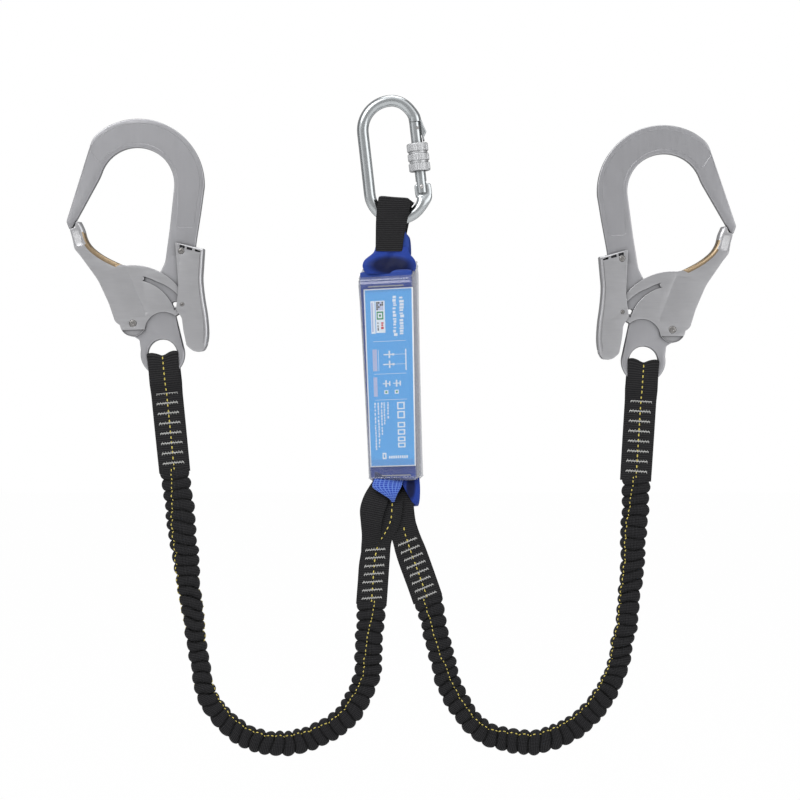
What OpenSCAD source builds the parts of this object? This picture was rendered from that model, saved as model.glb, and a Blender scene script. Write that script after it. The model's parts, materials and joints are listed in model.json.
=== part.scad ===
// Two-legged shock absorbing lanyard: screw-gate carabiner, tear-webbing absorber
// in a clear cover, two elasticated legs and two scaffold hooks.
// The lanyard hangs in the XZ plane, +Z up. The origin is the centre of the carabiner's
// top bow, where the harness ring sits. All sizes are in millimetres.

/* [Carabiner] */
// Thickness of the round steel rod
rod_d = 9.6; // [9:0.1:10.4]
// Centreline radius of the top bow
top_bow_r = 24.3; // [23.5:0.1:25]
// Centreline radius of the bottom bow
low_bow_r = 23; // [22.5:0.1:23.4]
// Straight length between the two bow centres
spine_len = 51; // [50:0.5:53]
// Lean of the carabiner, top towards the left
carabiner_lean = 6.4; // [4:0.2:8]
// Distance of the gate axis from the top bow centre
gate_x = 19.3; // [19:0.1:19.6]
// Thickness of the gate rod
gate_d = 9; // [8.6:0.1:9.2]
// Outer thickness of the screw sleeve
sleeve_d = 17.4; // [16:0.2:18]
// Length of the screw sleeve
sleeve_len = 23; // [21:0.5:24]

/* [Absorber] */
// Width of the pack at its top edge
pack_top_w = 47; // [44:0.5:50]
// Width of the pack at its bottom edge
pack_low_w = 41; // [39:0.5:44]
// Height of the clear cover
pack_h = 181; // [170:1:190]
// Depth of the pack, front to back
pack_d = 25.5; // [24:0.5:28]
// Turn of the pack about the vertical
pack_yaw = 14; // [0:1:16]
// Lean of the pack, top towards the left
pack_lean = 2.2; // [0:0.2:3]
// Wall of the clear cover
cover_wall = 0.8; // [0.5:0.1:1]
// Number of layers of folded tear webbing
fold_layers = 8; // [6:1:8]
// Thickness of one layer of webbing
webbing_t = 2.2; // [1.8:0.1:2.4]

/* [Legs] */
// Width of the sewn straps
strap_w = 26; // [24:0.5:27]
// Thickness of a sewn strap, both plies together
strap_t = 5; // [4:0.2:5.4]
// Width of the gathered elastic webbing
elastic_w = 22; // [20:0.5:23]
// Thickness of the gathered elastic webbing
elastic_t = 9; // [8:0.5:10]
// Width of the elastic core inside it
core_w = 15; // [12:0.5:16]
// Thickness of the elastic core
core_t = 3.5; // [3:0.5:4]
// Radius of the left leg's bottom bend
left_bend_r = 69; // [66:1:70]
// Radius of the right leg's bottom bend
right_bend_r = 76; // [74:1:78]
// Bar tacks on each sewn strap
tacks = 8; // [4:1:8]

/* [Scaffold hooks] */
// Thickness of the hook plate
plate_t = 8; // [7:0.5:8.5]
// Radius of the round seat inside the bow
seat_r = 31; // [30:0.5:32]
// Outer radius of the bow
bow_r = 54.5; // [54:0.5:56]
// Radius of the eye hole
eye_r = 12; // [11.5:0.1:12.2]
// Outer radius of the eye
eye_rim_r = 18.3; // [18:0.1:19]
// Thickness of the gate's sheet metal
gate_sheet = 1.8; // [1.5:0.1:1.8]
// Thickness of the lock lever's sheet metal
lever_sheet = 1.5; // [1.2:0.1:1.5]

/* [Hidden] */
$fn = 64;

gap = 0.4;       // free space between parts that pass each other
fit = 0.05;      // radial clearance of a pin in its hole
slip = 0.02;     // clearance of parts that only rest on each other
collar_t = 0.1;  // a straight and a bend meet inside a collar that stands this proud
collar_l = 3;    // length of that collar

// Places in the XZ plane, as [x, z]
low_bow = [low_bow_r - top_bow_r, -spine_len];
gate_hinge = [gate_x, -49.7];
gate_tip_z = 4.2;
nose_under_z = 4.6;
sleeve_top_z = -13.5;
lug_end_z = -12;
sleeve_mouth_r = 7.1;

function turn(p, a) = [p[0] * cos(a) + p[1] * sin(a), -p[0] * sin(a) + p[1] * cos(a)];
function polar(r, a) = [r * cos(a), r * sin(a)];

swing_centre = turn(low_bow, -carabiner_lean);
pack_centre = [0, -200];
left_knot = [-14, -352];
right_knot = [16.7, -352];
left_eye = [-190.1, -185.9];
right_eye = [208.3, -191.7];
right_hook_lean = 1.5;

// Places on a hook, measured from the eye centre
gate_pivot = [-24.3, 25.2];
lever_pivot = [15.9, 85];
lock_pin_at = [16.7, 40.9];
nose_tip = [-79.7, 109.6];
gate_slot_r = 37.95;
gate_slot_half = 1.9;
lock_pin_r = 1.6;
pin_r0 = norm(lock_pin_at - gate_pivot);
pin_a0 = atan2(lock_pin_at[1] - gate_pivot[1], lock_pin_at[0] - gate_pivot[0]);
gate_open = 35;
pin_swing_a = 4.1;
inner_y = plate_t / 2 + gap;
gate_y = inner_y + gate_sheet;
lever_y = gate_y + 0.3;
lever_out_y = lever_y + lever_sheet;

steel = "silver";
zinc = "gainsboro";
black = "#26262a";
blue = "#2f55c8";
thread = "white";

// ---------- helpers ----------

// Stands a drawing made in XY upright in XZ, with its thickness centred on Y
module upright(thick) {
    rotate([90, 0, 0])
        translate([0, 0, -thick / 2])
            linear_extrude(thick) children();
}

// Two sheets, one on each side of the middle plane, between depths y0 and y1
module both_sides(y0, y1) {
    for (side = [-1, 1])
        translate([0, side * (y0 + y1) / 2, 0])
            upright(y1 - y0) children();
}

// Round pin along Y through the point p
module pin(p, r, length) {
    translate([p[0], 0, p[1]])
        rotate([90, 0, 0])
            cylinder(r = r, h = length, center = true);
}

// Sweeps a profile, drawn as [in-plane, Y], along an arc about c from angle a0 to a1
module arc_run(c, r, a0, a1) {
    translate([c[0], 0, c[1]])
        rotate([90, 0, 0])
            rotate([0, 0, min(a0, a1)])
                rotate_extrude(angle = abs(a1 - a0))
                    translate([r, 0]) children();
}

// Sweeps the same profile along the straight line from p to q
module line_run(p, q) {
    translate([p[0], 0, p[1]])
        rotate([0, atan2(q[0] - p[0], q[1] - p[1]), 0])
            linear_extrude(norm(q - p)) children();
}

// Flat profile with chamfered corners
module slab_profile(w, t) {
    c = t * 0.28;
    polygon([
        [-w / 2, -t / 2 + c], [-w / 2 + c, -t / 2], [w / 2 - c, -t / 2], [w / 2, -t / 2 + c],
        [w / 2, t / 2 - c], [w / 2 - c, t / 2], [-w / 2 + c, t / 2], [-w / 2, t / 2 - c]
    ]);
}

// Wedge of a disc, as a polygon large enough to cover radius r between two angles
module wedge(r, a0, a1) {
    mid = (a0 + a1) / 2;
    far = r * 1.6;
    polygon([[0, 0], polar(far, a0), polar(far, (a0 + mid) / 2), polar(far, mid),
        polar(far, (a1 + mid) / 2), polar(far, a1)]);
}

// Flat ring sector between radii r0 and r1
module ring_sector(r0, r1, a0, a1) {
    intersection() {
        difference() {
            circle(r = r1);
            circle(r = r0);
        }
        wedge(r1, a0, a1);
    }
}

// ---------- carabiner ----------

module lean_carabiner() {
    rotate([0, -carabiner_lean, 0]) children();
}

module carabiner_rod() {
    rod_r = rod_d / 2;
    arc_run([0, 0], top_bow_r, -18, 180) circle(r = rod_r);
    line_run([-top_bow_r, -0.3], [-top_bow_r, 0.3 - spine_len]) circle(r = rod_r);
    arc_run(low_bow, low_bow_r, 180, 345) circle(r = rod_r);
    for (z = [0, -spine_len])
        translate([-top_bow_r, 0, z - collar_l / 2]) cylinder(r = rod_r + collar_t, h = collar_l);
}

// Flat tongue at the end of the lower bow, which the forked gate straddles
module hinge_tongue() {
    upright(4)
        polygon([
            [gate_x - 6.2, gate_hinge[1] + 0.2], [gate_x - 4, gate_hinge[1] + 2],
            [gate_x + 4, gate_hinge[1] + 4], [gate_x + 7.3, gate_hinge[1] + 4.2],
            [gate_x + 7.6, gate_hinge[1] - 2], [gate_x + 5.4, gate_hinge[1] - 12],
            [gate_x - 2.5, gate_hinge[1] - 13]
        ]);
}

// Nose: an inner tongue that hooks the latch pin, and a lug that the sleeve covers
module nose() {
    upright(2.8)
        difference() {
            polygon([[gate_x + 0.7, -5], [gate_x + 0.7, 5.2], [gate_x + 5.6, 5.2],
                [gate_x + 5.6, -7], [gate_x + 3.4, -7]]);
            translate([gate_x + 1.7, -1]) circle(r = 1.55);
            translate([gate_x - 1, -2.55]) square([2.7, 3.1]);
        }
    intersection() {
        translate([gate_x, 0, lug_end_z])
            cylinder(r = 6.8, h = 9);
        translate([gate_x + 5.1, -3, lug_end_z]) cube([3, 6, 8]);
    }
}

module carabiner_frame() {
    color(zinc) lean_carabiner() {
        difference() {
            union() {
                carabiner_rod();
                translate([gate_x + 0.9, 0, nose_under_z])
                    cylinder(d = rod_d + 0.9, h = 6);
            }
            translate([gate_x, 0, -20]) cylinder(d = gate_d + 0.8, h = 20 + nose_under_z);
            translate([gate_x - 6, -10, -20]) cube([8, 20, 20 + nose_under_z]);
            translate([0, -10, gate_hinge[1] - 9]) cube([40, 20, 12]);
        }
        nose();
        difference() {
            hinge_tongue();
            pin(gate_hinge, 1.8 + fit, 12);
        }
    }
}

module carabiner_hinge_rivet() {
    color(steel) lean_carabiner() pin(gate_hinge, 1.8, gate_d + 0.6);
}

module carabiner_gate() {
    color(zinc) lean_carabiner()
        difference() {
            translate([gate_x, 0, gate_hinge[1] - 5])
                cylinder(d = gate_d, h = gate_tip_z - gate_hinge[1] + 5);
            // Fork over the tongue
            translate([gate_x - 6, -2.25, gate_hinge[1] - 6]) cube([12, 4.5, 10.8]);
            pin(gate_hinge, 1.8 + fit, 12);
            // Slot for the nose tongue and the latch pin's hole
            translate([gate_x - 0.6, -1.7, -9]) cube([8, 3.4, 16]);
            pin([gate_x + 1.7, -1], 1.25 + fit, 12);
            // Bore of the return spring
            translate([gate_x, 0, gate_hinge[1] + 4]) cylinder(r = 2.6, h = 24);
        }
}

module gate_latch_pin() {
    color(steel) lean_carabiner() pin([gate_x + 1.7, -1], 1.25, 8);
}

module gate_plunger() {
    color(steel) lean_carabiner()
        translate([gate_x, 0, gate_hinge[1] + 4.9]) cylinder(r = 2.55, h = 7);
}

module gate_return_spring() {
    coils = 10;
    pitch = 1.36;
    color(steel) lean_carabiner()
        for (i = [0 : coils - 1])
            translate([gate_x, 0, gate_hinge[1] + 12.8 + i * pitch])
                rotate_extrude() translate([1.6, 0]) circle(r = 0.72, $fn = 24);
}

module screw_lock_sleeve() {
    groove_z = [7.6, 15.4];
    color(zinc) lean_carabiner()
        translate([gate_x, 0, sleeve_top_z - sleeve_len])
            difference() {
                cylinder(d = sleeve_d, h = sleeve_len);
                translate([0, 0, -1]) cylinder(r = gate_d / 2 + 0.06, h = sleeve_len + 2);
                translate([0, 0, sleeve_len - 6.6]) cylinder(r = sleeve_mouth_r, h = 8);
                for (z = groove_z)
                    translate([0, 0, z - 0.8])
                        difference() {
                            cylinder(d = sleeve_d + 2, h = 1.6);
                            translate([0, 0, -1]) cylinder(d = sleeve_d - 1.6, h = 4);
                        }
            }
}

// ---------- absorber ----------

module place_pack() {
    translate([pack_centre[0], 0, pack_centre[1]])
        rotate([0, -pack_lean, 0])
            rotate([0, 0, -pack_yaw]) children();
}

// Outline of the tapered pack, grown or shrunk by g on every side
module pack_outline(g, h) {
    polygon([
        [-pack_low_w / 2 - g, -h / 2], [pack_low_w / 2 + g, -h / 2],
        [pack_top_w / 2 + g, h / 2], [-pack_top_w / 2 - g, h / 2]
    ]);
}

module absorber_cover() {
    color("#dfe8f0", 0.4) place_pack()
        difference() {
            upright(pack_d) pack_outline(0, pack_h);
            upright(pack_d - 2 * cover_wall) pack_outline(-cover_wall, pack_h + 10);
        }
}

module absorber_label() {
    label_w = 37;
    label_h = 147;
    color("#73afe6") place_pack()
        translate([-label_w / 2, -pack_d / 2 + cover_wall + 0.1, -label_h / 2])
            cube([label_w, 0.4, label_h]);
}

// Webbing folded to and fro, layer behind layer, joined by round folds at the ends
module tear_webbing() {
    fold_h = 160;
    space = 0.3;
    pitch = webbing_t + space;
    first = -pitch * (fold_layers - 1) / 2;
    color(blue) place_pack()
        intersection() {
            rotate([90, 0, 90])
                translate([0, 0, -pack_top_w])
                    linear_extrude(2 * pack_top_w)
                        for (i = [0 : fold_layers - 1]) {
                            y = first + i * pitch;
                            translate([y - webbing_t / 2, -fold_h / 2]) square([webbing_t, fold_h]);
                            if (i < fold_layers - 1)
                                translate([y + pitch / 2, (i % 2 == 0 ? 1 : -1) * fold_h / 2])
                                    rotate(i % 2 == 0 ? 0 : 180)
                                        ring_sector(space / 2, space / 2 + webbing_t, 0, 180);
                        }
            upright(60) pack_outline(-cover_wall - 0.6, pack_h + 20);
        }
}

// Front and back plies of a loop round the rod, joined by a saddle on the inner side of the bow
module loop_over_bow(y0, y1, r0, r1, x0, x1, top, low) {
    both_sides(y0, y1) translate([x0, low]) square([x1 - x0, top - low]);
    translate([swing_centre[0], 0, swing_centre[1]])
        upright(2 * y1) ring_sector(r0, r1, 203, 318);
}

module top_loop() {
    sleeve_space_r = 16.7;
    color(blue) {
        difference() {
            loop_over_bow(5.2, 7.2, 16.8, 17.8, -14, 9, -60, -104);
            translate([swing_centre[0], 0, swing_centre[1]])
                upright(30) circle(r = sleeve_space_r);
        }
        upright(14.4)
            polygon([[-14, -103.5], [9, -103.5], [15.8, -113], [-22.6, -113]]);
    }
}

module top_loop_wear_sleeve() {
    color(black) loop_over_bow(7.3, 9.3, 15, 16.6, -14.9, 9.5, -54, -101);
}

// Loop below the pack: two strands that meet in a round bend
module bottom_loop() {
    bend_z = -301;
    bend_r = 13.2;
    hole_r = bend_r - webbing_t;
    color(blue)
        translate([-15, 0, 0])
            rotate([90, 0, 90])
                linear_extrude(36)
                    translate([0, bend_z])
                        difference() {
                            union() {
                                circle(r = bend_r);
                                translate([-bend_r, 0]) square([2 * bend_r, 8]);
                            }
                            circle(r = hole_r);
                            translate([-hole_r, 0]) square([2 * hole_r, 9]);
                            translate([-bend_r, 8]) square(2 * bend_r);
                        }
}

// Cross-stitched blocks that hold the end loops to the tear webbing
module absorber_bar_tacks() {
    color(thread) place_pack()
        for (z = [-86, 84.5], y = [-9, 0, 9])
            translate([-12, y - 0.6, z]) cube([24, 1.2, 1.4]);
}

// ---------- legs ----------

// Strap ring that hangs in the bottom loop and comes together above the sewn strap
module hitch_loop(outer, inner, y0, y1) {
    color(black)
        translate([0, (y0 + y1) / 2, 0])
            upright(y1 - y0)
                difference() {
                    polygon(outer);
                    polygon(inner);
                }
}

module left_hitch_loop() {
    hitch_loop(
        [[-24, -300], [25.5, -300], [25.5, -317], [-2.5, -339.5], [-25.5, -339.5], [-25.5, -306]],
        [[-20, -302.5], [23, -302.5], [23, -315.5], [-5, -335], [-20, -335]],
        -10.5, -0.3);
}

module right_hitch_loop() {
    hitch_loop(
        [[-18.5, -300], [27, -300], [28, -339.5], [5, -339.5], [-18.5, -317]],
        [[-16, -302.5], [23.5, -302.5], [23.5, -335], [8, -335], [-16, -315.5]],
        0.3, 10.5);
}

// Sewn strap between the knot and the elastic; its round top turns about the knot
module upper_strap(knot, end) {
    color(black) {
        pin(knot, strap_w / 2 - 1.1, strap_t - 0.2);
        line_run(knot, end) slab_profile(strap_w - 2.8, strap_t);
    }
}

// Rows of thread on the front and the back of a strap that runs from p to q
module bar_tack_rows(p, q, first, pitch, width, depth) {
    color(thread)
        translate([p[0], 0, p[1]])
            rotate([0, atan2(q[0] - p[0], q[1] - p[1]), 0])
                for (i = [0 : tacks - 1], side = [-1, 1])
                    translate([-width / 2, side * (depth / 2 + 0.4 + slip) - 0.4, first + i * pitch])
                        cube([width, 0.8, 1.7]);
}

// A leg is [knot, elastic start, bend centre, bend radius, start, split 1, split 2, end angle,
// elastic end, eye]
left_leg = [left_knot, [-17.8, -400], [-89, -441.5], left_bend_r, -3, -48, -130, -172,
    [-180.5, -282], left_eye];
right_leg = [right_knot, [33, -397.3], [117, -431.5], right_bend_r, 191, 228, 318, 354,
    [202.2, -289], right_eye];

function bend_at(leg, a) = leg[2] + polar(leg[3], a);
function toward(p, q, d) = p + (q - p) * d / norm(q - p);

// Start of the elastic, clear of the square end of a strap that runs from p to q
function elastic_end(p, q, far) =
    toward(q, far, 0.3 + elastic_w / 2 * abs(cross(q - p, far - q)) / norm(q - p) / norm(far - q));

disc_r = elastic_w / 2 + 0.3;
core_inset = 14;

// A round end that turns in the hollow end of the next piece
module split_disc(leg, a) {
    pin(bend_at(leg, a), disc_r, elastic_t - 0.2);
}

module split_hollow(leg, a) {
    pin(bend_at(leg, a), disc_r + gap, elastic_t * 2);
}

// Straight run to the point far, and the arc that it leaves at angle a0, as far as a1
module line_and_arc(leg, far, a0, a1, w, t) {
    joint = bend_at(leg, a0);
    line_run(toward(joint, far, 0.3), far) slab_profile(w, t);
    line_run(toward(joint, far, -collar_l / 2), toward(joint, far, collar_l / 2))
        slab_profile(w + 2 * collar_t, t + 2 * collar_t);
    arc_run(leg[2], leg[3], a0, a1) slab_profile(w, t);
}

// Angle of the core's end, short of the split at angle a on the side of angle b
function core_end(leg, a, b, extra) =
    a + sign(b - a) * (core_inset - extra) / leg[3] * 180 / PI;

// Elastic from the sewn strap into the bend
module upper_core(leg, extra) {
    line_and_arc(leg, toward(leg[1], bend_at(leg, leg[4]), 4 - extra), leg[4],
        core_end(leg, leg[5], leg[4], extra), core_w + 2 * extra, core_t + 2 * extra);
}

module elastic_upper(leg) {
    color(black)
        difference() {
            union() {
                line_and_arc(leg, elastic_end(leg[0], leg[1], bend_at(leg, leg[4])), leg[4], leg[5],
                    elastic_w, elastic_t);
                split_disc(leg, leg[5]);
            }
            upper_core(leg, 0.1);
        }
}

// Elastic along the bottom of the bend
module middle_core(leg, extra) {
    arc_run(leg[2], leg[3], core_end(leg, leg[5], leg[6], extra),
        core_end(leg, leg[6], leg[5], extra))
        slab_profile(core_w + 2 * extra, core_t + 2 * extra);
}

module elastic_middle(leg) {
    color(black)
        difference() {
            union() {
                arc_run(leg[2], leg[3], leg[5], leg[6]) slab_profile(elastic_w, elastic_t);
                split_disc(leg, leg[6]);
            }
            split_hollow(leg, leg[5]);
            middle_core(leg, 0.1);
        }
}

// Elastic that climbs to the hook
module lower_core(leg, extra) {
    line_and_arc(leg, toward(leg[8], bend_at(leg, leg[7]), 4 - extra), leg[7],
        core_end(leg, leg[6], leg[7], extra), core_w + 2 * extra, core_t + 2 * extra);
}

module elastic_lower(leg) {
    color(black)
        difference() {
            line_and_arc(leg, elastic_end(leg[9], leg[8], bend_at(leg, leg[7])), leg[7], leg[6],
                elastic_w, elastic_t);
            split_hollow(leg, leg[6]);
            lower_core(leg, 0.1);
        }
}

// Strap that passes through the hook's eye: a curled saddle on the rim, two plies that
// come together below it, and a sewn part
module hook_strap(leg) {
    dir = leg[9] - leg[8];
    reach = norm(dir);
    ply_y = plate_t / 2 + 0.3;
    ply = 2;
    color(black)
        translate([leg[9][0], 0, leg[9][1]])
            rotate([0, atan2(dir[0], dir[1]), 0]) {
                upright(2 * (ply_y + ply)) ring_sector(eye_r - 2.4, eye_r - 0.2, 195, 345);
                both_sides(ply_y, ply_y + ply)
                    translate([-strap_w / 2, -eye_rim_r - 4]) square([strap_w, eye_rim_r + 3]);
                translate([-strap_w / 2, 0, 0])
                    rotate([90, 0, 90])
                        linear_extrude(strap_w)
                            polygon([[-ply_y - ply, -eye_rim_r - 1.5], [ply_y + ply, -eye_rim_r - 1.5],
                                [ply_y + ply, -eye_rim_r - 4.5], [strap_t / 2, -eye_rim_r - 14],
                                [strap_t / 2, -reach], [-strap_t / 2, -reach],
                                [-strap_t / 2, -eye_rim_r - 14], [-ply_y - ply, -eye_rim_r - 4.5]]);
            }
}

// ---------- scaffold hooks ----------

module left_hook() {
    translate([left_eye[0], 0, left_eye[1]]) children();
}

module right_hook() {
    translate([right_eye[0], 0, right_eye[1]])
        rotate([0, -right_hook_lean, 0]) mirror([1, 0, 0]) children();
}

// Forged plate: bow, nose, stem, eye and the boss round the gate's pivot
module hook_blank() {
    bow_centre = [-20, 140.5];
    nose_low = [-76.4, 101];
    upright(plate_t)
        intersection() {
            translate(bow_centre) circle(r = bow_r, $fn = 128);
            polygon([nose_tip, nose_low, [60, 101], [60, 200], [-51.7, 200]]);
        }
    upright(plate_t) polygon([[-61, 170], nose_tip, nose_low, [-60, 101], [-40, 152]]);
    upright(plate_t)
        polygon([[0, 138], [34.2, 136], [27.4, 91], [26, 70], [25, 47], [21, 34.5], [10.4, 34],
            [17, 4], [0, 0], [-17.4, 3], [-19, 11.6], [-30, 18.5], [-33, 30], [-33, 50], [0, 80]]);
    pin([0, 0], eye_rim_r, plate_t);
    pin(gate_pivot, 9, plate_t);
}

module hook_body() {
    seat_centre = [-21.3, 140.3];
    color(steel)
        difference() {
            hook_blank();
            pin(seat_centre, seat_r, 30);
            upright(30)
                polygon([[-49, 151], [-71.4, 111], [-76.4, 101], [-80, 36], [-36, 36],
                    [-20, 43], [-6, 58.4], [1.7, 71], [9.3, 138]]);
            pin([0, 0], eye_r, 30);
            pin(gate_pivot, 3 + fit, 30);
            pin(lever_pivot, 2.5 + fit, 30);
            // Slot in which the lock pin travels
            pin(lock_pin_at, lock_pin_r + gap, 30);
            pin([10, 41.3], lock_pin_r + gap, 30);
            translate([10, -15, 41.1 - lock_pin_r - gap])
                cube([lock_pin_at[0] - 10, 30, 2 * (lock_pin_r + gap)]);
            // Pocket of the gate spring
            translate([gate_pivot[0], -plate_t / 2 - 1, gate_pivot[1]])
                rotate([-90, 0, 0]) cylinder(r = 7.4, h = 5);
        }
}

// Path of the lock pin across the gate sheet as lever and gate turn together
module pin_sweep() {
    steps = 8;
    polygon(concat(
        [for (i = [0 : steps])
            polar(pin_r0 + (gate_slot_r - pin_r0) * i / steps + lock_pin_r + gap,
                pin_a0 + (gate_open + pin_swing_a) * i / steps)],
        [polar(gate_slot_r, pin_a0 + gate_open + pin_swing_a), polar(gate_slot_r, pin_a0 - 3),
            polar(pin_r0 + lock_pin_r + gap, pin_a0 - 3)]
    ));
}

module gate_sheet_outline() {
    difference() {
        union() {
            polygon([[-76.4, 103], [-74.7, 96], [-72, 86], [-68, 81], [-53, 61], [-44, 41.5],
                [-39, 26.6], [-35, 18.3], [-24.3, 14.2], [-15, 21.6], [-31, 73], [-37, 75],
                [-48, 81], [-55, 86], [-60, 91], [-64, 101], [-68, 103]]);
            translate(gate_pivot) circle(r = 10.8);
            intersection() {
                translate(gate_pivot) circle(r = 48.3, $fn = 128);
                polygon([[-32, 30], [-14, 21], [8.2, 32], [31, 36.8], [40, 90], [-33.5, 80]]);
            }
        }
        translate(gate_pivot) {
            ring_sector(gate_slot_r - gate_slot_half, gate_slot_r + gate_slot_half, 19, 78.5);
            pin_sweep();
        }
    }
}

module hook_gate() {
    color(steel)
        difference() {
            union() {
                both_sides(inner_y, gate_y) gate_sheet_outline();
                // Web that joins the two sheets along the inner edge
                upright(2 * gate_y)
                    polygon([[-68, 109.6], [-64, 101], [-60, 91], [-55, 86], [-48, 81], [-37, 75],
                        [-37.6, 73.3], [-48.8, 79.3], [-56.2, 84.6], [-61.6, 90.2], [-65.6, 100],
                        [-69.4, 108.6]]);
            }
            pin(gate_pivot, 3 + fit, 30);
        }
}

// Shank with a head outside each sheet
module headed_pin(p, r, reach, head_r, head_t) {
    pin(p, r, 2 * reach);
    both_sides(reach, reach + head_t) translate(p) circle(r = head_r);
}

module gate_rivet() {
    color(steel) headed_pin(gate_pivot, 3, gate_y + fit, 4.4, 0.8);
}

// Torsion spring: touching coils and two straight ends
module torsion_spring(p, y0, coils, r, wire_r, end_a, end_b) {
    color(steel)
        for (i = [0 : coils - 1])
            translate([p[0], y0 + (2 * i + 1) * wire_r * 0.96, p[1]])
                rotate([90, 0, 0])
                    rotate_extrude() translate([r, 0]) circle(r = wire_r, $fn = 24);
    color(steel)
        for (end = [[0, end_a], [coils - 1, end_b]])
            translate([p[0], y0 + (2 * end[0] + 1) * wire_r * 0.96, p[1]])
                rotate([0, -end[1], 0])
                    translate([0, 0, r])
                        rotate([0, 90, 0]) cylinder(r = wire_r * 0.8, h = r * 1.1, $fn = 24);
}

module gate_spring() {
    torsion_spring(gate_pivot, -plate_t / 2 + 0.2, 3, 4.1, 0.6, 20, 200);
}

module lever_outline() {
    polygon([[10.8, 92], [34.9, 86.3], [34, 74], [33.2, 61], [34.9, 46.5], [37.4, 31.5],
        [38.2, 16.6], [36.5, 6.6], [27.4, 2.1], [19.9, 7.5], [17.4, 20], [16.6, 30],
        [11.6, 36.5], [12.5, 45], [13.6, 55]]);
}

module lock_lever() {
    web_edge = [[34.9, 86.3], [34, 74], [33.2, 61], [34.9, 46.5], [37.4, 31.5], [38.2, 16.6],
        [36.5, 6.6]];
    color(steel)
        difference() {
            union() {
                both_sides(lever_y, lever_out_y) lever_outline();
                upright(2 * lever_out_y)
                    polygon(concat(web_edge,
                        [for (i = [len(web_edge) - 1 : -1 : 0]) web_edge[i] - [lever_sheet, 0]]));
            }
            pin(lever_pivot, 2.5 + fit, 30);
            pin(lock_pin_at, lock_pin_r + fit, 30);
        }
}

module lever_rivet() {
    color(steel) headed_pin(lever_pivot, 2.5, lever_out_y + fit, 3.4, 0.7);
}

module lock_pin() {
    color(steel) headed_pin(lock_pin_at, lock_pin_r, lever_out_y + fit, 2.4, 0.7);
}

module lever_spring() {
    torsion_spring(lever_pivot, -plate_t / 2 - 2.2, 2, 3.6, 0.5, 270, 300);
}

// ---------- nodes ----------

carabiner_frame();
carabiner_hinge_rivet();
carabiner_gate();
gate_latch_pin();
gate_plunger();
gate_return_spring();
screw_lock_sleeve();
absorber_cover();
absorber_label();
tear_webbing();
top_loop();
top_loop_wear_sleeve();
bottom_loop();
absorber_bar_tacks();
left_hitch_loop();
upper_strap(left_leg[0], left_leg[1]);  // left_upper_strap
bar_tack_rows(left_leg[1], left_leg[0], 3, 6.4, 16, strap_t);  // left_upper_bar_tacks
elastic_upper(left_leg);  // left_elastic_jacket_upper
elastic_middle(left_leg);  // left_elastic_jacket_middle
elastic_lower(left_leg);  // left_elastic_jacket_lower
color("ivory") upper_core(left_leg, 0);  // left_elastic_core_upper
color("ivory") middle_core(left_leg, 0);  // left_elastic_core_middle
color("ivory") lower_core(left_leg, 0);  // left_elastic_core_lower
hook_strap(left_leg);  // left_hook_strap
bar_tack_rows(left_leg[8], left_leg[9], 4.6, 8.2, 18, strap_t);  // left_hook_bar_tacks
right_hitch_loop();
upper_strap(right_leg[0], right_leg[1]);  // right_upper_strap
bar_tack_rows(right_leg[1], right_leg[0], 3, 6.2, 16, strap_t);  // right_upper_bar_tacks
elastic_upper(right_leg);  // right_elastic_jacket_upper
elastic_middle(right_leg);  // right_elastic_jacket_middle
elastic_lower(right_leg);  // right_elastic_jacket_lower
color("ivory") upper_core(right_leg, 0);  // right_elastic_core_upper
color("ivory") middle_core(right_leg, 0);  // right_elastic_core_middle
color("ivory") lower_core(right_leg, 0);  // right_elastic_core_lower
hook_strap(right_leg);  // right_hook_strap
bar_tack_rows(right_leg[8], right_leg[9], 4.6, 8.2, 18, strap_t);  // right_hook_bar_tacks
left_hook() hook_body();  // left_hook_body
left_hook() hook_gate();  // left_hook_gate
left_hook() gate_rivet();  // left_gate_rivet
left_hook() gate_spring();  // left_gate_spring
left_hook() lock_lever();  // left_lock_lever
left_hook() lever_rivet();  // left_lever_rivet
left_hook() lock_pin();  // left_lock_pin
left_hook() lever_spring();  // left_lever_spring
right_hook() hook_body();  // right_hook_body
right_hook() hook_gate();  // right_hook_gate
right_hook() gate_rivet();  // right_gate_rivet
right_hook() gate_spring();  // right_gate_spring
right_hook() lock_lever();  // right_lock_lever
right_hook() lever_rivet();  // right_lever_rivet
right_hook() lock_pin();  // right_lock_pin
right_hook() lever_spring();  // right_lever_spring
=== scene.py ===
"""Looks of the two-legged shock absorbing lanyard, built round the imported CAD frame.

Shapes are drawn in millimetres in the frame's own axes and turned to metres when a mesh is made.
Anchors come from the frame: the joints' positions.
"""

import bmesh
import bpy
import json
import math
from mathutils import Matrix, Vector
from mathutils.geometry import tessellate_polygon


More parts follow.
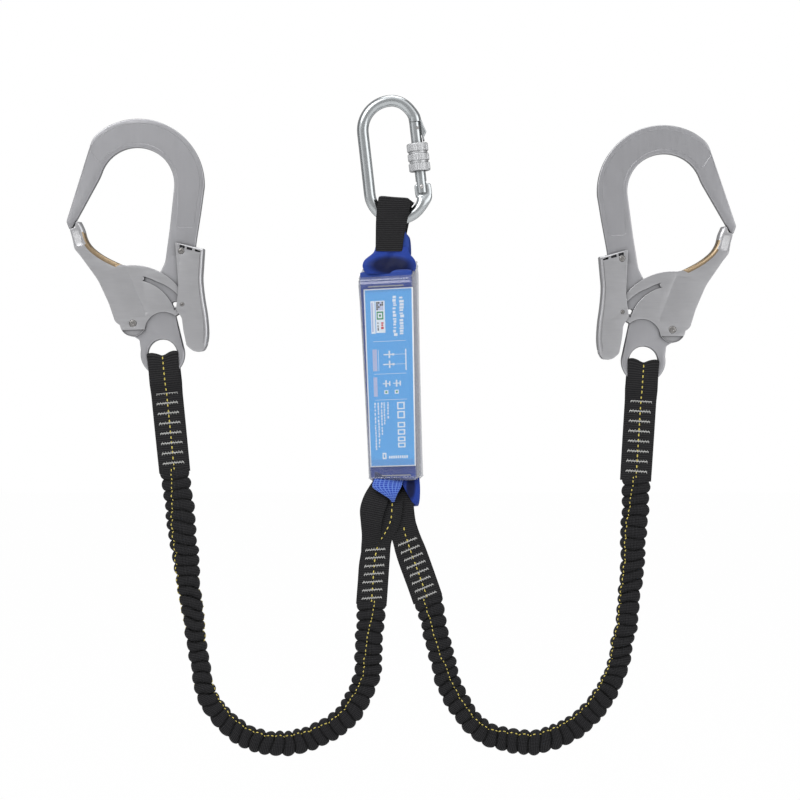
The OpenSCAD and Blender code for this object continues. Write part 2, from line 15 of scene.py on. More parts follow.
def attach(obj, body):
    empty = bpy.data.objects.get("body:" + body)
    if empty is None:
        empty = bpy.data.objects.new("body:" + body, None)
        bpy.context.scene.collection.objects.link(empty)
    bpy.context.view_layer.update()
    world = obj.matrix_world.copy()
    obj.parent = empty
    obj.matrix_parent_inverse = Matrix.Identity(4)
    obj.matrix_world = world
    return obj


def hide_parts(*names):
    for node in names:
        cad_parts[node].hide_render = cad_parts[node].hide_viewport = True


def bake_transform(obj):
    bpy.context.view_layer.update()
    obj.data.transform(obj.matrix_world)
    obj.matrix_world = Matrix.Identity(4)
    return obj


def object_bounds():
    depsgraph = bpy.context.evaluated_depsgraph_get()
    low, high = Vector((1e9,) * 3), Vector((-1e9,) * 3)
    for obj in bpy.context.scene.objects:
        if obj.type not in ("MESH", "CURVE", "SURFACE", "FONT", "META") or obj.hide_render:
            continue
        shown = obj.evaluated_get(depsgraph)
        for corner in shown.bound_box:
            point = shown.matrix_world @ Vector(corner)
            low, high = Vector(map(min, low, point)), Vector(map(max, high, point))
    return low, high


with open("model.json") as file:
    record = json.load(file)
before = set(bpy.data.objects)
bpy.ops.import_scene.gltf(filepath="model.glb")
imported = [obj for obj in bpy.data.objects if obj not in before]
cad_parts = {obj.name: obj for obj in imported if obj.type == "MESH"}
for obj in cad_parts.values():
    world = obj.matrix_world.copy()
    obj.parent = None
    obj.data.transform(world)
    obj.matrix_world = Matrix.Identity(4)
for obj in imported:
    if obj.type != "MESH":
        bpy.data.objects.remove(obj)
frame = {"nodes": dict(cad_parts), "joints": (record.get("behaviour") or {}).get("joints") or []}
cad_box = [list(c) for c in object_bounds()]
MM = 0.001
X, Y, Z = Vector((1, 0, 0)), Vector((0, 1, 0)), Vector((0, 0, 1))
JOINT = {j["name"]: Vector(j["pos_m"]) / MM for j in frame["joints"] if "pos_m" in j}
SIDES = ("left", "right")
FRONT, BACK = -1, 1


def wave01(k):
    """A fixed pseudo-random number between 0 and 1 for the number k."""
    return (math.sin(k * 12.9898 + 4.1) * 43758.5453) % 1.0


# ---------------------------------------------------------------- materials

class Tree:
    """The node tree of a material or a world under construction."""

    def __init__(self, owner):
        owner.use_nodes = True
        self.owner, self.tree = owner, owner.node_tree
        self.tree.nodes.clear()

    def node(self, kind, props=None, ins=None):
        """Adds a node. ins maps an input's name or number to a value or to the socket that feeds it."""
        made = self.tree.nodes.new("ShaderNode" + kind)
        for key, value in (props or {}).items():
            setattr(made, key, value)
        for key, value in (ins or {}).items():
            if isinstance(value, bpy.types.NodeSocket):
                self.tree.links.new(value, made.inputs[key])
            else:
                made.inputs[key].default_value = value
        return made

    def coords(self):
        return self.node("TexCoord").outputs["Object"]

    def math(self, op, a, b=0.0, c=0.0):
        return self.node("Math", {"operation": op}, {0: a, 1: b, 2: c}).outputs[0]

    def weighted(self, a, share_a, b, share_b):
        """Sum of two values, each times its share."""
        return self.math("ADD", self.math("MULTIPLY", a, share_a), self.math("MULTIPLY", b, share_b))

    def wave(self, turn):
        """Sine of turn, brought between 0 and 1."""
        return self.math("MULTIPLY_ADD", self.math("SINE", turn), 0.5, 0.5)

    def mix(self, factor, a, b):
        """Colour between a and b, each a socket or a plain (r, g, b)."""
        a, b = (c if isinstance(c, bpy.types.NodeSocket) else (*c, 1) for c in (a, b))
        return self.node("Mix", {"data_type": "RGBA"}, {0: factor, 6: a, 7: b}).outputs[2]

    def darken(self, tone, grey):
        """Colour multiplied by a grey."""
        props = {"data_type": "RGBA", "blend_type": "MULTIPLY"}
        return self.node("Mix", props, {0: 1.0, 6: tone, 7: grey}).outputs[2]

    def noise(self, scale, detail=3.0, vector=None):
        ins = {"Scale": scale, "Detail": detail, "Vector": vector or self.coords()}
        return self.node("TexNoise", None, ins).outputs["Fac"]

    def openness(self, reach_mm):
        """0 deep in a gap between parts, 1 where nothing is near."""
        return self.node("AmbientOcclusion", {"samples": 6}, {"Distance": reach_mm * MM}).outputs["AO"]

    def ramp(self, factor, stops):
        """Colour ramp through (place, grey or (r, g, b)) stops."""
        made = self.node("ValToRGB", None, {0: factor})
        elements = made.color_ramp.elements
        elements[0].position = stops[0][0]
        elements[1].position = stops[-1][0]
        for place, _ in stops[1:-1]:
            elements.new(place)
        for element, (_, value) in zip(elements, stops):
            element.color = (value, value, value, 1) if isinstance(value, float) else (*value, 1)
        return made.outputs[0]

    def bump(self, height, distance_mm, strength=1.0, normal=None):
        ins = {"Height": height, "Distance": distance_mm * MM, "Strength": strength}
        if normal is not None:
            ins["Normal"] = normal
        return self.node("Bump", None, ins).outputs[0]

    def shader(self, kind, ins):
        return self.node(kind, None, ins).outputs[0]

    def finish(self, shader, output="OutputMaterial"):
        self.node(output, None, {"Surface": shader})
        return self.owner

    def surface(self, ins):
        """Ends a material in one principled shader."""
        return self.finish(self.shader("BsdfPrincipled", ins))


def new_material(name):
    return Tree(bpy.data.materials.new(name))


def steel(name, base, rough, grain, cloud=0.12, lines=(1, 1, 1), edge=0.25, rim=0.35):
    """Plated steel: cloudy tone, polishing lines, fine grain, worn edges, painted shade in the gaps between
    parts and painted dark reflections on rims seen edge on.
    """
    t = new_material(name)
    streak = t.noise(900, 2, t.node("Mapping", None, {"Vector": t.coords(), "Scale": lines}).outputs[0])
    cloudy = t.noise(55, 4)
    fine = t.noise(2600, 2)
    soft = t.node("Bevel", {"samples": 4}, {"Radius": 0.5 * MM}).outputs[0]
    normals = {0: soft, 1: t.node("NewGeometry").outputs["Normal"]}
    facing = t.node("VectorMath", {"operation": "DOT_PRODUCT"}, normals).outputs["Value"]
    worn = t.math("MINIMUM", t.math("MULTIPLY", t.math("SUBTRACT", 1.0, facing), 3.0), 1.0)
    dark = [c * (1 - cloud) for c in base]
    light = [min(1, c * (1 + cloud)) for c in base]
    tone = t.mix(t.weighted(cloudy, 0.6, streak, 0.4), dark, light)
    tone = t.mix(t.math("MULTIPLY", worn, edge), tone, (0.93, 0.93, 0.94))
    # Painted shade and painted reflection: the colour is pulled towards near black in gaps between parts
    # (ambient occlusion) and on rims seen edge on, rim setting how dark.
    turn = t.node("LayerWeight", None, {"Blend": 0.5}).outputs["Facing"]
    shade = t.math("MULTIPLY", t.ramp(t.openness(5), [(0.0, 0.12), (0.55, 0.62), (0.9, 1.0)]),
                   t.ramp(turn, [(0.0, 1.0), (0.5, 0.95), (0.72, rim), (1.0, rim * 0.7)]))
    return t.surface({
        "Base Color": t.mix(shade, (0.01, 0.01, 0.012), tone), "Metallic": 0.95,
        "Roughness": t.math("ADD", rough - 0.07, t.math("MULTIPLY", streak, 0.14)),
        "Normal": t.bump(t.weighted(fine, 0.6, streak, 0.4), grain, 0.6)})


def webbing(name, dark, light, rib, cross, relief, rough=0.72, sheen=0.05, grid=0.0,
            valley=0.0, hollow=None, contact_shade=True):
    """Woven webbing. UVs are in millimetres: V runs along the strap, U across it.

    rib and cross are the pitches of the weave; grid lightens its lines both ways; valley is painted shade
    darkening the folds of the pleats; hollow is (x, z, half width, half height) of a patch of painted shade
    over a dip, in the frame's axes; contact_shade is painted shade darkening the places where plies meet."""
    t = new_material(name)
    uv = t.node("SeparateXYZ", None, {0: t.node("UVMap").outputs[0]})
    uneven = t.noise(130, 4)
    along = t.math("MULTIPLY", uv.outputs[1], 2 * math.pi / rib)
    ribs = t.wave(t.math("ADD", along, t.math("MULTIPLY", uneven, 1.4)))
    warp = t.wave(t.math("MULTIPLY", uv.outputs[0], 2 * math.pi / cross))
    flat = t.math("MAXIMUM", ribs, warp) if grid else ribs
    lint = t.noise(1700, 3)
    height = t.weighted(flat, 0.75, warp, 0.25)
    if grid:
        lines = t.math("MAXIMUM", t.math("POWER", ribs, 4.0), t.math("POWER", warp, 4.0))
        factor = t.math("MULTIPLY", lines, t.math("MULTIPLY_ADD", lint, 0.6, 0.55))
    else:
        factor = t.math("MULTIPLY", t.math("POWER", height, 1.6), t.math("MULTIPLY_ADD", lint, 0.9, 0.35))
    tone = t.mix(factor, dark, light)
    # Painted shade: the folds of the pleats, found by how sunk the surface is, are darkened by valley.
    if valley:
        sunk = t.node("NewGeometry").outputs["Pointiness"]
        tone = t.darken(tone, t.ramp(sunk, [(0.44, valley), (0.5, 0.75), (0.56, 1.0)]))
    # Painted shade: darker where plies meet and in the gaps between them (ambient occlusion).
    if contact_shade:
        tone = t.darken(tone, t.ramp(t.openness(7), [(0.0, 0.15), (0.5, 0.6), (0.85, 1.0)]))
    # Painted shade: a patch darkened towards navy over a dip, standing for the shade inside it.
    if hollow:
        x, z, half_width, half_height = (size * MM for size in hollow)
        spot = t.node("SeparateXYZ", None, {0: t.coords()})
        across = t.math("DIVIDE", t.math("SUBTRACT", spot.outputs[0], x), half_width)
        down = t.math("DIVIDE", t.math("SUBTRACT", spot.outputs[2], z), half_height)
        far = t.math("ADD", t.math("MULTIPLY", across, across), t.math("MULTIPLY", down, down))
        tone = t.mix(t.ramp(far, [(0.0, 1.0), (0.4, 0.95), (1.0, 0.0)]), tone, (0.002, 0.004, 0.022))
    tone = t.mix(t.math("MULTIPLY", uneven, 0.35), tone, [c * 0.6 for c in dark])
    return t.surface({
        "Base Color": tone, "Roughness": rough, "Sheen Weight": sheen, "Sheen Roughness": 0.45,
        "Specular IOR Level": 0.2, "Normal": t.bump(height, relief, 0.9, t.bump(lint, 0.08, 0.5))})


def thread(name, dark, light):
    """Twisted sewing thread."""
    t = new_material(name)
    fibre = t.noise(2200, 3)
    return t.surface({"Base Color": t.mix(fibre, dark, light), "Roughness": 0.7, "Sheen Weight": 0.3,
                      "Normal": t.bump(fibre, 0.12, 0.8)})


def clear_film(name):
    """Clear soft film: nearly invisible straight on, milky where it is seen edge on."""
    t = new_material(name)
    normal = t.bump(t.noise(28, 2), 1.2, 0.35, t.bump(t.noise(300, 2), 0.06, 0.4))
    edge_on = t.node("LayerWeight", None, {"Blend": 0.5, "Normal": normal}).outputs["Facing"]
    milk = t.math("MULTIPLY_ADD", t.math("POWER", edge_on, 2.2), 0.82, 0.012)
    milk = t.math("ADD", milk, t.math("MULTIPLY", t.noise(60, 3), 0.05))
    skin = t.shader("BsdfPrincipled", {
        "Base Color": (0.56, 0.57, 0.59, 1), "Roughness": 0.16, "Coat Weight": 0.5,
        "Coat Roughness": 0.06, "Normal": normal})
    shine = t.shader("BsdfGlossy", {"Roughness": 0.07, "Color": (1, 1, 1, 1), "Normal": normal})
    gap = t.shader("BsdfTransparent", {"Color": (0.97, 0.98, 1.0, 1)})
    gloss = t.shader("MixShader", {0: 0.05, 1: gap, 2: shine})
    return t.finish(t.shader("MixShader", {0: milk, 1: gloss, 2: skin}))


def paint(name, tone, second, rough=0.45):
    """Printed surface with slight mottling."""
    t = new_material(name)
    mottle = t.noise(300, 3)
    return t.surface({
        "Base Color": t.mix(mottle, tone, second),
        "Roughness": t.math("MULTIPLY_ADD", mottle, 0.15, rough - 0.07),
        "Normal": t.bump(mottle, 0.05, 0.4)})


# Each entry is a material and the name of a slot in the record.
LOOKS = {
    "zinc": (steel("zinc_bright", (0.60, 0.63, 0.64), 0.20, 0.03, 0.16, (0.06, 1, 1), 0.2, 0.22),
             "zinc_steel"),
    "sleeve": (steel("zinc_knurled", (0.72, 0.73, 0.74), 0.42, 0.08, edge=0.4), "zinc_steel"),
    "hook": (steel("steel_forged_satin", (0.50, 0.50, 0.52), 0.40, 0.03, 0.07, (1, 1, 0.08), 0.30),
             "hook_steel"),
    "sheet": (steel("steel_pressed_satin", (0.60, 0.60, 0.615), 0.34, 0.03, 0.12, (0.1, 1, 1), 0.30),
              "hook_steel"),
    "blast": (steel("steel_blasted", (0.70, 0.70, 0.71), 0.55, 0.35, 0.3, edge=0.3), "hook_steel"),
    "warm": (steel("steel_heat_tinted", (0.36, 0.27, 0.17), 0.34, 0.05, 0.3, (1, 1, 0.2), 0.1), "hook_steel"),
    # Painted shadow for the openings along the lock lever's top edge.
    "gap_shadow": (steel("steel_painted_gap_shadow", (0.05, 0.05, 0.055), 0.5, 0.05, 0.2, edge=0.1), "hook_steel"),
    "pin": (steel("steel_riveted", (0.66, 0.65, 0.64), 0.30, 0.04, 0.15, edge=0.4), "pin_steel"),
    "rivet": (steel("steel_rivet_head", (0.30, 0.29, 0.28), 0.36, 0.06, 0.3, edge=0.5), "pin_steel"),
    "spring": (steel("steel_spring_wire", (0.42, 0.42, 0.43), 0.32, 0.02, 0.1, edge=0.2), "spring_steel"),
    "black": (webbing("webbing_black", (0.007, 0.007, 0.008), (0.046, 0.045, 0.047), 1.75, 0.9, 0.34),
              "black_webbing"),
    "elastic": (webbing("webbing_elastic", (0.006, 0.006, 0.007), (0.058, 0.057, 0.061), 1.35, 1.1, 0.42,
                        valley=0.06), "elastic_webbing"),
    "blue": (webbing("webbing_blue", (0.016, 0.045, 0.28), (0.04, 0.12, 0.55), 0.9, 0.8, 0.12, 0.42, 0.3,
                     contact_shade=False), "blue_webbing"),
    # Blue webbing with painted shade over the bulge of the top loop's wide ends.
    "fold": (webbing("webbing_blue_fold_painted_shade", (0.010, 0.032, 0.26), (0.04, 0.12, 0.60), 0.9, 0.8, 0.12, 0.34,
                     0.02, hollow=(-1.0, -113.0, 21.0, 9.0)), "blue_webbing"),
    # Blue webbing with painted shade over the dip in the bottom loop's right strand.
    "shaded": (webbing("webbing_blue_shaded", (0.012, 0.035, 0.26), (0.03, 0.10, 0.60), 0.9, 0.8, 0.12, 0.42,
                       hollow=(15.5, -296.0, 4.5, 12.0)), "blue_webbing"),
    "grid": (webbing("webbing_blue_grid", (0.014, 0.05, 0.42), (0.20, 0.36, 0.85), 1.9, 1.9, 0.18, 0.55, 0.3,
                     grid=1.0), "blue_webbing"),
    "core": (webbing("elastic_core", (0.45, 0.42, 0.33), (0.70, 0.67, 0.56), 1.2, 1.2, 0.15, 0.8, 0.1),
             "elastic_core"),
    "white": (thread("thread_white", (0.30, 0.30, 0.29), (0.68, 0.68, 0.66)), "white_thread"),
    "yellow": (thread("thread_yellow", (0.50, 0.38, 0.03), (0.90, 0.78, 0.20)), "white_thread"),
    "film": (clear_film("film_clear"), "clear_pvc"),
    "card": (paint("card_white", (0.93, 0.94, 0.95), (0.86, 0.88, 0.92)), "label_card"),
    "print": (paint("print_light_blue", (0.135, 0.45, 0.88), (0.155, 0.49, 0.90), 0.35), "label_card"),
    "ink": (paint("print_white", (0.90, 0.94, 0.97), (0.84, 0.90, 0.96)), "label_card"),
    "ink_grey": (paint("print_lilac", (0.50, 0.56, 0.80), (0.56, 0.60, 0.80)), "label_card"),
    "ink_dark": (paint("print_dark", (0.06, 0.07, 0.10), (0.10, 0.10, 0.13)), "label_card"),
    "ink_green": (paint("print_green", (0.01, 0.28, 0.09), (0.02, 0.32, 0.12)), "label_card"),
    "ink_red": (paint("print_red", (0.62, 0.02, 0.03), (0.70, 0.04, 0.05)), "label_card"),
}


# ---------------------------------------------------------------- mesh building

def heading(path, i):
    """Direction of a path at its point i."""
    return (path[min(i + 1, len(path) - 1)] - path[max(i - 1, 0)]).normalized()


def length_of(path):
    return sum((q - p).length for p, q in zip(path, path[1:]))


def full_turn(count):
    """Angles of count points evenly round a circle."""
    return [2 * math.pi * j / count for j in range(count)]


def limit(value, low=0.0, high=1.0):
    return max(low, min(high, value))


class Shell:
    """Vertices in millimetres, faces, UVs in millimetres and material numbers."""

    def __init__(self):
        self.points, self.faces, self.uvs, self.marks = [], [], [], []

    def face(self, indices, uvs, mark):
        self.faces.append(tuple(indices))
        self.uvs.append(uvs)
        self.marks.append(mark)

    def grid(self, rings, us, vs, mark=0, caps=True):
        """Skins closed rings of equal length. us has one more entry than a ring has points."""
        n, base = len(rings[0]), len(self.points)
        for ring in rings:
            self.points.extend(ring)
        for i in range(len(rings) - 1):
            for j in range(n):
                k = (j + 1) % n
                a, b = base + i * n + j, base + i * n + k
                corners = ((us[j], vs[i]), (us[j + 1], vs[i]), (us[j + 1], vs[i + 1]), (us[j], vs[i + 1]))
                self.face((a, b, b + n, a + n), corners, mark)
        if caps:
            last = base + (len(rings) - 1) * n
            self.face(range(base + n - 1, base - 1, -1), [(us[j], vs[0]) for j in range(n)], mark)
            self.face(range(last, last + n), [(us[j], vs[-1]) for j in range(n)], mark)

    def sheet(self, rows, thick, mark=0, taper=6):
        """Gives a surface, as rows of points across it, a thickness with rounded edges.

        Returns its rows, each with the normals at its points."""
        n, m = len(rows), len(rows[0])
        rings, vs, front, v = [], [], [], 0.0
        for i, row in enumerate(rows):
            before, after = rows[max(i - 1, 0)], rows[min(i + 1, n - 1)]
            if i:
                v += (row[m // 2] - rows[i - 1][m // 2]).length
            vs.append(v)
            normals = []
            for j in range(m):
                across = row[min(j + 1, m - 1)] - row[max(j - 1, 0)]
                normals.append(across.cross(after[j] - before[j]).normalized())
            share = [abs(2 * j / (m - 1) - 1) for j in range(m)]
            half = [thick / 2 * math.sqrt(max(0.0, 1 - s ** taper)) for s in share]
            top = [row[j] + normals[j] * half[j] for j in range(m)]
            low = [row[j] - normals[j] * half[j] for j in range(m - 2, 0, -1)]
            rings.append(top + low)
            front.append((row, normals))
        width = (rows[n // 2][0] - rows[n // 2][-1]).length
        us = [(j / (m - 1) - 0.5) * width for j in range(m)]
        us += [us[j] for j in range(m - 2, 0, -1)] + [us[0]]
        self.grid(rings, us, vs, mark)
        return front

    def tube(self, path, radii, sides=6, flat=None):
        """Round bar along a path. flat gives a direction in which the bar is squeezed to 60%."""
        rings, vs, v, side = [], [], 0.0, None
        for i, p in enumerate(path):
            along = heading(path, i)
            if side is None:
                side = along.orthogonal().normalized()
            side = (side - along * side.dot(along)).normalized()
            other = along.cross(side)
            if i:
                v += (p - path[i - 1]).length
            vs.append(v)
            ring = []
            for a in full_turn(sides):
                out = side * math.cos(a) + other * math.sin(a)
                if flat is not None:
                    out = out - flat * out.dot(flat) * 0.4
                ring.append(p + out * radii[i])
            rings.append(ring)
        self.grid(rings, [j * 0.5 for j in range(sides + 1)], vs)

    def block(self, low, high, mark=0, chamfer=0.05):
        """Box with chamfered edges on its -Y side."""
        rings = []
        for y, gap in ((high[1], 0), (low[1] + chamfer, 0), (low[1], chamfer)):
            x0, z0, x1, z1 = low[0] + gap, low[2] + gap, high[0] - gap, high[2] - gap
            rings.append([Vector((x, y, z)) for x, z in ((x0, z0), (x1, z0), (x1, z1), (x0, z1))])
        self.grid(rings, range(5), range(3), mark)


def show(name, data):
    """Adds a mesh, lamp or camera to the scene."""
    made = bpy.data.objects.new(name, data)
    bpy.context.scene.collection.objects.link(made)
    return made


def make(name, shell, materials, place=None, body=None, stands_for=(), angle=35):
    """Turns a shell into a piece, with edges sharper than angle kept sharp."""
    mesh = bpy.data.meshes.new(name)
    points = [place(p) for p in shell.points] if place else shell.points
    mesh.from_pydata([p * MM for p in points], [], shell.faces)
    layer = mesh.uv_layers.new(name="UVMap")
    layer.data.foreach_set("uv", [c for uvs in shell.uvs for uv in uvs for c in uv])
    for key in materials:
        mesh.materials.append(LOOKS[key][0])
    mesh.polygons.foreach_set("material_index", shell.marks)
    bm = bmesh.new()
    bm.from_mesh(mesh)
    bmesh.ops.recalc_face_normals(bm, faces=bm.faces)
    bm.to_mesh(mesh)
    bm.free()
    mesh.polygons.foreach_set("use_smooth", [True] * len(mesh.polygons))
    mesh.set_sharp_from_angle(angle=math.radians(angle))
    made = show(name, mesh)
    if body:
        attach(made, body)
    if stands_for:
        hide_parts(*stands_for)
    return made


def stand_in(node, shell, materials, place=None, body=None, angle=35):
    """A piece that stands for one CAD node and is named after it."""
    return make(node + "_visual", shell, materials, place, body, [node], angle)


def carve(target, tool):
    """Cuts tool out of target with an exact boolean and drops the tool."""
    cut = target.modifiers.new("cut", "BOOLEAN")
    cut.operation, cut.solver, cut.object = "DIFFERENCE", "EXACT", tool
    result = bpy.data.meshes.new_from_object(target.evaluated_get(bpy.context.evaluated_depsgraph_get()))
    target.modifiers.clear()
    target.data = result
    bpy.data.objects.remove(tool)
    result.set_sharp_from_angle(angle=math.radians(30))


def catmull(a, b, c, d, t):
    """Point at the share t of the curve from b to c, with a before and d after them."""
    bend, twist = 2 * a - 5 * b + 4 * c - d, 3 * b - a - 3 * c + d
    return 0.5 * (2 * b + (c - a) * t + bend * t * t + twist * t ** 3)


def smooth(stations, per=8):
    """Catmull-Rom through stations, each a list of vectors."""
    out = []
    last = len(stations) - 1
    for i in range(last):
        near = [stations[max(i - 1, 0)], stations[i], stations[i + 1], stations[min(i + 2, last)]]
        for k in range(per):
            out.append([catmull(*(s[j] for s in near), k / per) for j in range(len(stations[0]))])
    out.append(list(stations[-1]))
    return out


def ribbon(shell, stations, thick, mark=0, across=14, bow=0.0):
    """Strap through stations of its two edges, (x, y, z, x, y, z). Returns its rows with their normals."""
    rows = []
    for a, b in smooth([[Vector(s[0:3]), Vector(s[3:6])] for s in stations]):
        row = []
        for j in range(across + 1):
            s = 0.5 - 0.5 * math.cos(math.pi * j / across)
            row.append(a.lerp(b, s) - Y * bow * (1 - (2 * s - 1) ** 2))
        rows.append(row)
    return shell.sheet(rows, thick, mark)


def middle_line(front, lift, side):
    """Points and outward normals along a strap's middle, on the side that faces the front or the back."""
    line = []
    for row, normals in front:
        j = len(row) // 2
        n = normals[j] if normals[j].y * side > 0 else -normals[j]
        line.append((row[j] + n * lift, n))
    return line


def dashes(shell, line, pitch, length, radius):
    """Running stitch: short flattened threads along a line of (point, normal)."""
    reach, v = [0.0], 0.0
    for (p, _), (q, _) in zip(line, line[1:]):
        v += (q - p).length
        reach.append(v)

    def at(s):
        i = max(k for k in range(len(reach)) if reach[k] <= s + 1e-9)
        i = min(i, len(line) - 2)
        f = (s - reach[i]) / max(reach[i + 1] - reach[i], 1e-9)
        return line[i][0].lerp(line[i + 1][0], f), line[i][1].lerp(line[i + 1][1], f).normalized()

    s, k = pitch * 0.4, 0
    while s + length < v:
        size = length * (0.85 + 0.3 * wave01(k))
        path, flat = [], None
        for part, dip in ((0, -0.28), (0.2, 0.02), (0.5, 0.12), (0.8, 0.02), (1, -0.28)):
            p, flat = at(min(s + size * part, v))
            path.append(p + flat * dip)
        shell.tube(path, [radius * r for r in (0.45, 0.95, 1, 0.95, 0.45)], flat=flat)
        s += pitch * (0.92 + 0.16 * wave01(k + 50))
        k += 1


def zigzag(shell, centre, across, out, width, height, count, seed):
    """Bar tack: a zigzag thread, up and down along Z, over a laid thread."""
    path = []
    for k in range(2 * count + 1):
        f = k / (2 * count) - 0.5
        up = (0.5 if k % 2 else -0.5) * (0.75 + 0.5 * wave01(seed * 31 + k))
        drift = 0.25 * (wave01(seed * 17 + k) - 0.5)
        path.append(centre + across * (f * width + drift) + Z * up * height + out * 0.12)
    shell.tube(path, [0.3 * (0.8 + 0.4 * wave01(seed + k)) for k in range(len(path))])
    ends = [centre + across * (f * width) + out * 0.05 for f in (-0.5, -0.2, 0.2, 0.5)]
    shell.tube(ends, [0.42] * len(ends))


def bar_tacks(shell, z0, pitch, lift, across, width, sway, seed):
    """Eight rows of bar tacks up both faces of a strap; lift gives a row's distance from the middle plane."""
    for k in range(8):
        for face in (FRONT, BACK):
            centre = Vector((sway * (wave01(k + seed / 10) - 0.5), face * lift(k), z0 + pitch * k))
            zigzag(shell, centre, across, Y * face, width, 2.3, 8, k * 2 + seed + (face == BACK))


# ---------------------------------------------------------------- plates

def at_angle(centre, r, degrees):
    a = math.radians(degrees)
    return centre[0] + r * math.cos(a), centre[1] + r * math.sin(a)


def arc(centre, r, a0, a1, step=3.0):
    """Points on an arc from a0 to a1 degrees, about step degrees apart."""
    n = max(2, int(abs(a1 - a0) / step))
    return [at_angle(centre, r, a0 + (a1 - a0) * i / n) for i in range(n + 1)]


def bore(centre, r, step=15):
    """Round hole."""
    return arc(centre, r, 0, 360 - step, step)


def rounded(corners):
    """Outline through (x, z) or (x, z, radius) corners, with arcs at the corners that have a radius."""
    out, n = [], len(corners)
    for i, corner in enumerate(corners):
        p = Vector(corner[:2])
        r = corner[2] if len(corner) > 2 else 0
        before, after = Vector(corners[i - 1][:2]) - p, Vector(corners[(i + 1) % n][:2]) - p
        if not r or before.length < 1e-6 or after.length < 1e-6:
            out.append((p.x, p.y))
            continue
        a, b = before.normalized(), after.normalized()
        half = math.acos(max(-1, min(1, a.dot(b)))) / 2
        reach = min(r / math.tan(half), before.length * 0.49, after.length * 0.49)
        start, end = p + a * reach, p + b * reach
        steps = max(3, int((math.pi - 2 * half) / math.radians(8)))
        for k in range(steps + 1):
            f = k / steps
            q = start * (1 - f) ** 2 + p * 2 * f * (1 - f) + end * f * f
            out.append((q.x, q.y))
    return out


def soft_line(points):
    """Curve through (x, z) points."""
    return [tuple(p) for p, in smooth([[Vector(q)] for q in points], 5)]


def area(loop):
    """Signed area of a loop, positive when it runs against the clock."""
    return sum(a[0] * b[1] - b[0] * a[1] for a, b in zip(loop, loop[1:] + loop[:1])) / 2


def inset(loop, distances):
    """Moves each point of a loop to its left by its own distance."""
    out, n = [], len(loop)
    for i, p in enumerate(loop):
        a, b = Vector(loop[i - 1]), Vector(loop[(i + 1) % n])
        p = Vector(p)
        d0, d1 = (p - a), (b - p)
        d0 = d0.normalized() if d0.length > 1e-9 else d1.normalized()
        d1 = d1.normalized() if d1.length > 1e-9 else d0
        n0, n1 = Vector((-d0.y, d0.x)), Vector((-d1.y, d1.x))
        m = n0 + n1
        m = m.normalized() if m.length > 1e-6 else n0
        q = p + m * distances[i] / max(0.5, m.dot(n0))
        out.append((q.x, q.y))
    return out


def plate(shell, outline, y_half, bevel, holes=(), pockets=()):
    """Flat part with bevelled rims, through holes, and shallow pockets on both faces.

    bevel is a number or a function of (x, z). A pocket is (loop, depth, slope width)."""
    outer = outline if area(outline) > 0 else outline[::-1]
    loops = [outer] + [h if area(h) < 0 else h[::-1] for h in holes]
    size = bevel if callable(bevel) else (lambda x, z: bevel)
    quarter = (0, 0.25, 0.5, 0.75, 1)
    steps = [(-1, f) for f in reversed(quarter)] + [(1, f) for f in quarter]
    caps = {-1: [], 1: []}
    for loop in loops:
        n, rings = len(loop), []
        amounts = [size(*p) for p in loop]
        for face, f in steps:
            a = f * math.pi / 2
            moved = inset(loop, [b * (1 - math.cos(a)) for b in amounts])
            rings.append([Vector((q[0], face * (y_half - b * (1 - math.sin(a))), q[1]))
                          for q, b in zip(moved, amounts)])
        base = len(shell.points)
        shell.grid(rings, range(n + 1), range(len(rings)), caps=False)
        caps[-1].append(range(base, base + n))
        caps[1].append(range(base + (len(rings) - 1) * n, base + len(rings) * n))
    for face, rims in caps.items():
        for loop, depth, slope in pockets:
            loop = loop if area(loop) < 0 else loop[::-1]
            n = len(loop)
            rings = [[Vector((q[0], face * (y_half - d), q[1])) for q in inset(loop, [-w] * n)]
                     for w, d in ((0, 0), (slope, depth))]
            base = len(shell.points)
            shell.grid(rings, range(n + 1), range(2), caps=False)
            rims.append(range(base, base + n))
            fill(shell, [range(base + n, base + 2 * n)])
        fill(shell, rims)


def fill(shell, rims):
    """Closes a flat face bounded by rims of point numbers, the first of them the outer one."""
    flat = [n for rim in rims for n in rim]
    loops = [[Vector((shell.points[n].x, shell.points[n].z, 0)) for n in rim] for rim in rims]
    for triangle in tessellate_polygon(loops):
        shell.face([flat[i] for i in triangle], [(0, 0)] * 3, 0)


def turned(half, centre, sides):
    """Part turned about the Y axis through centre and the same on both faces.

    half is its front profile, as (radius, y) pairs from the tip inwards."""
    shell = Shell()
    profile = half + [(r, -y) for r, y in reversed(half)]
    rings = [[centre + Vector((r * math.cos(a), y, r * math.sin(a))) for a in full_turn(sides)]
             for r, y in profile]
    shell.grid(rings, range(sides + 1), range(len(rings)))
    return shell


# ---------------------------------------------------------------- carabiner

# The rod's middle line runs on two bows, the top one round the origin, with a straight spine between them.
CAR_LEAN = math.radians(-6.4)
ROD_R = 4.8
TOP_R, LOW_R, SPINE = 24.3, 23.0, 51.0
LOW_BOW = Vector((LOW_R - TOP_R, 0, -SPINE))
GATE_X = 19.3
SLEEVE_TOP, SLEEVE_LEN, SLEEVE_R = -13.5, 23.0, 8.7


def leaned(p, angle):
    """Point turned about the Y axis; a positive angle leans its top to the right."""
    c, s = math.cos(angle), math.sin(angle)
    return Vector((p.x * c + p.z * s, p.y, -p.x * s + p.z * c))


def on_carabiner(p):
    """Places a carabiner drawing, measured from the centre of its top bow."""
    return leaned(p, CAR_LEAN)


def polar(centre, r, degrees):
    x, z = at_angle((centre.x, centre.z), r, degrees)
    return Vector((x, 0, z))


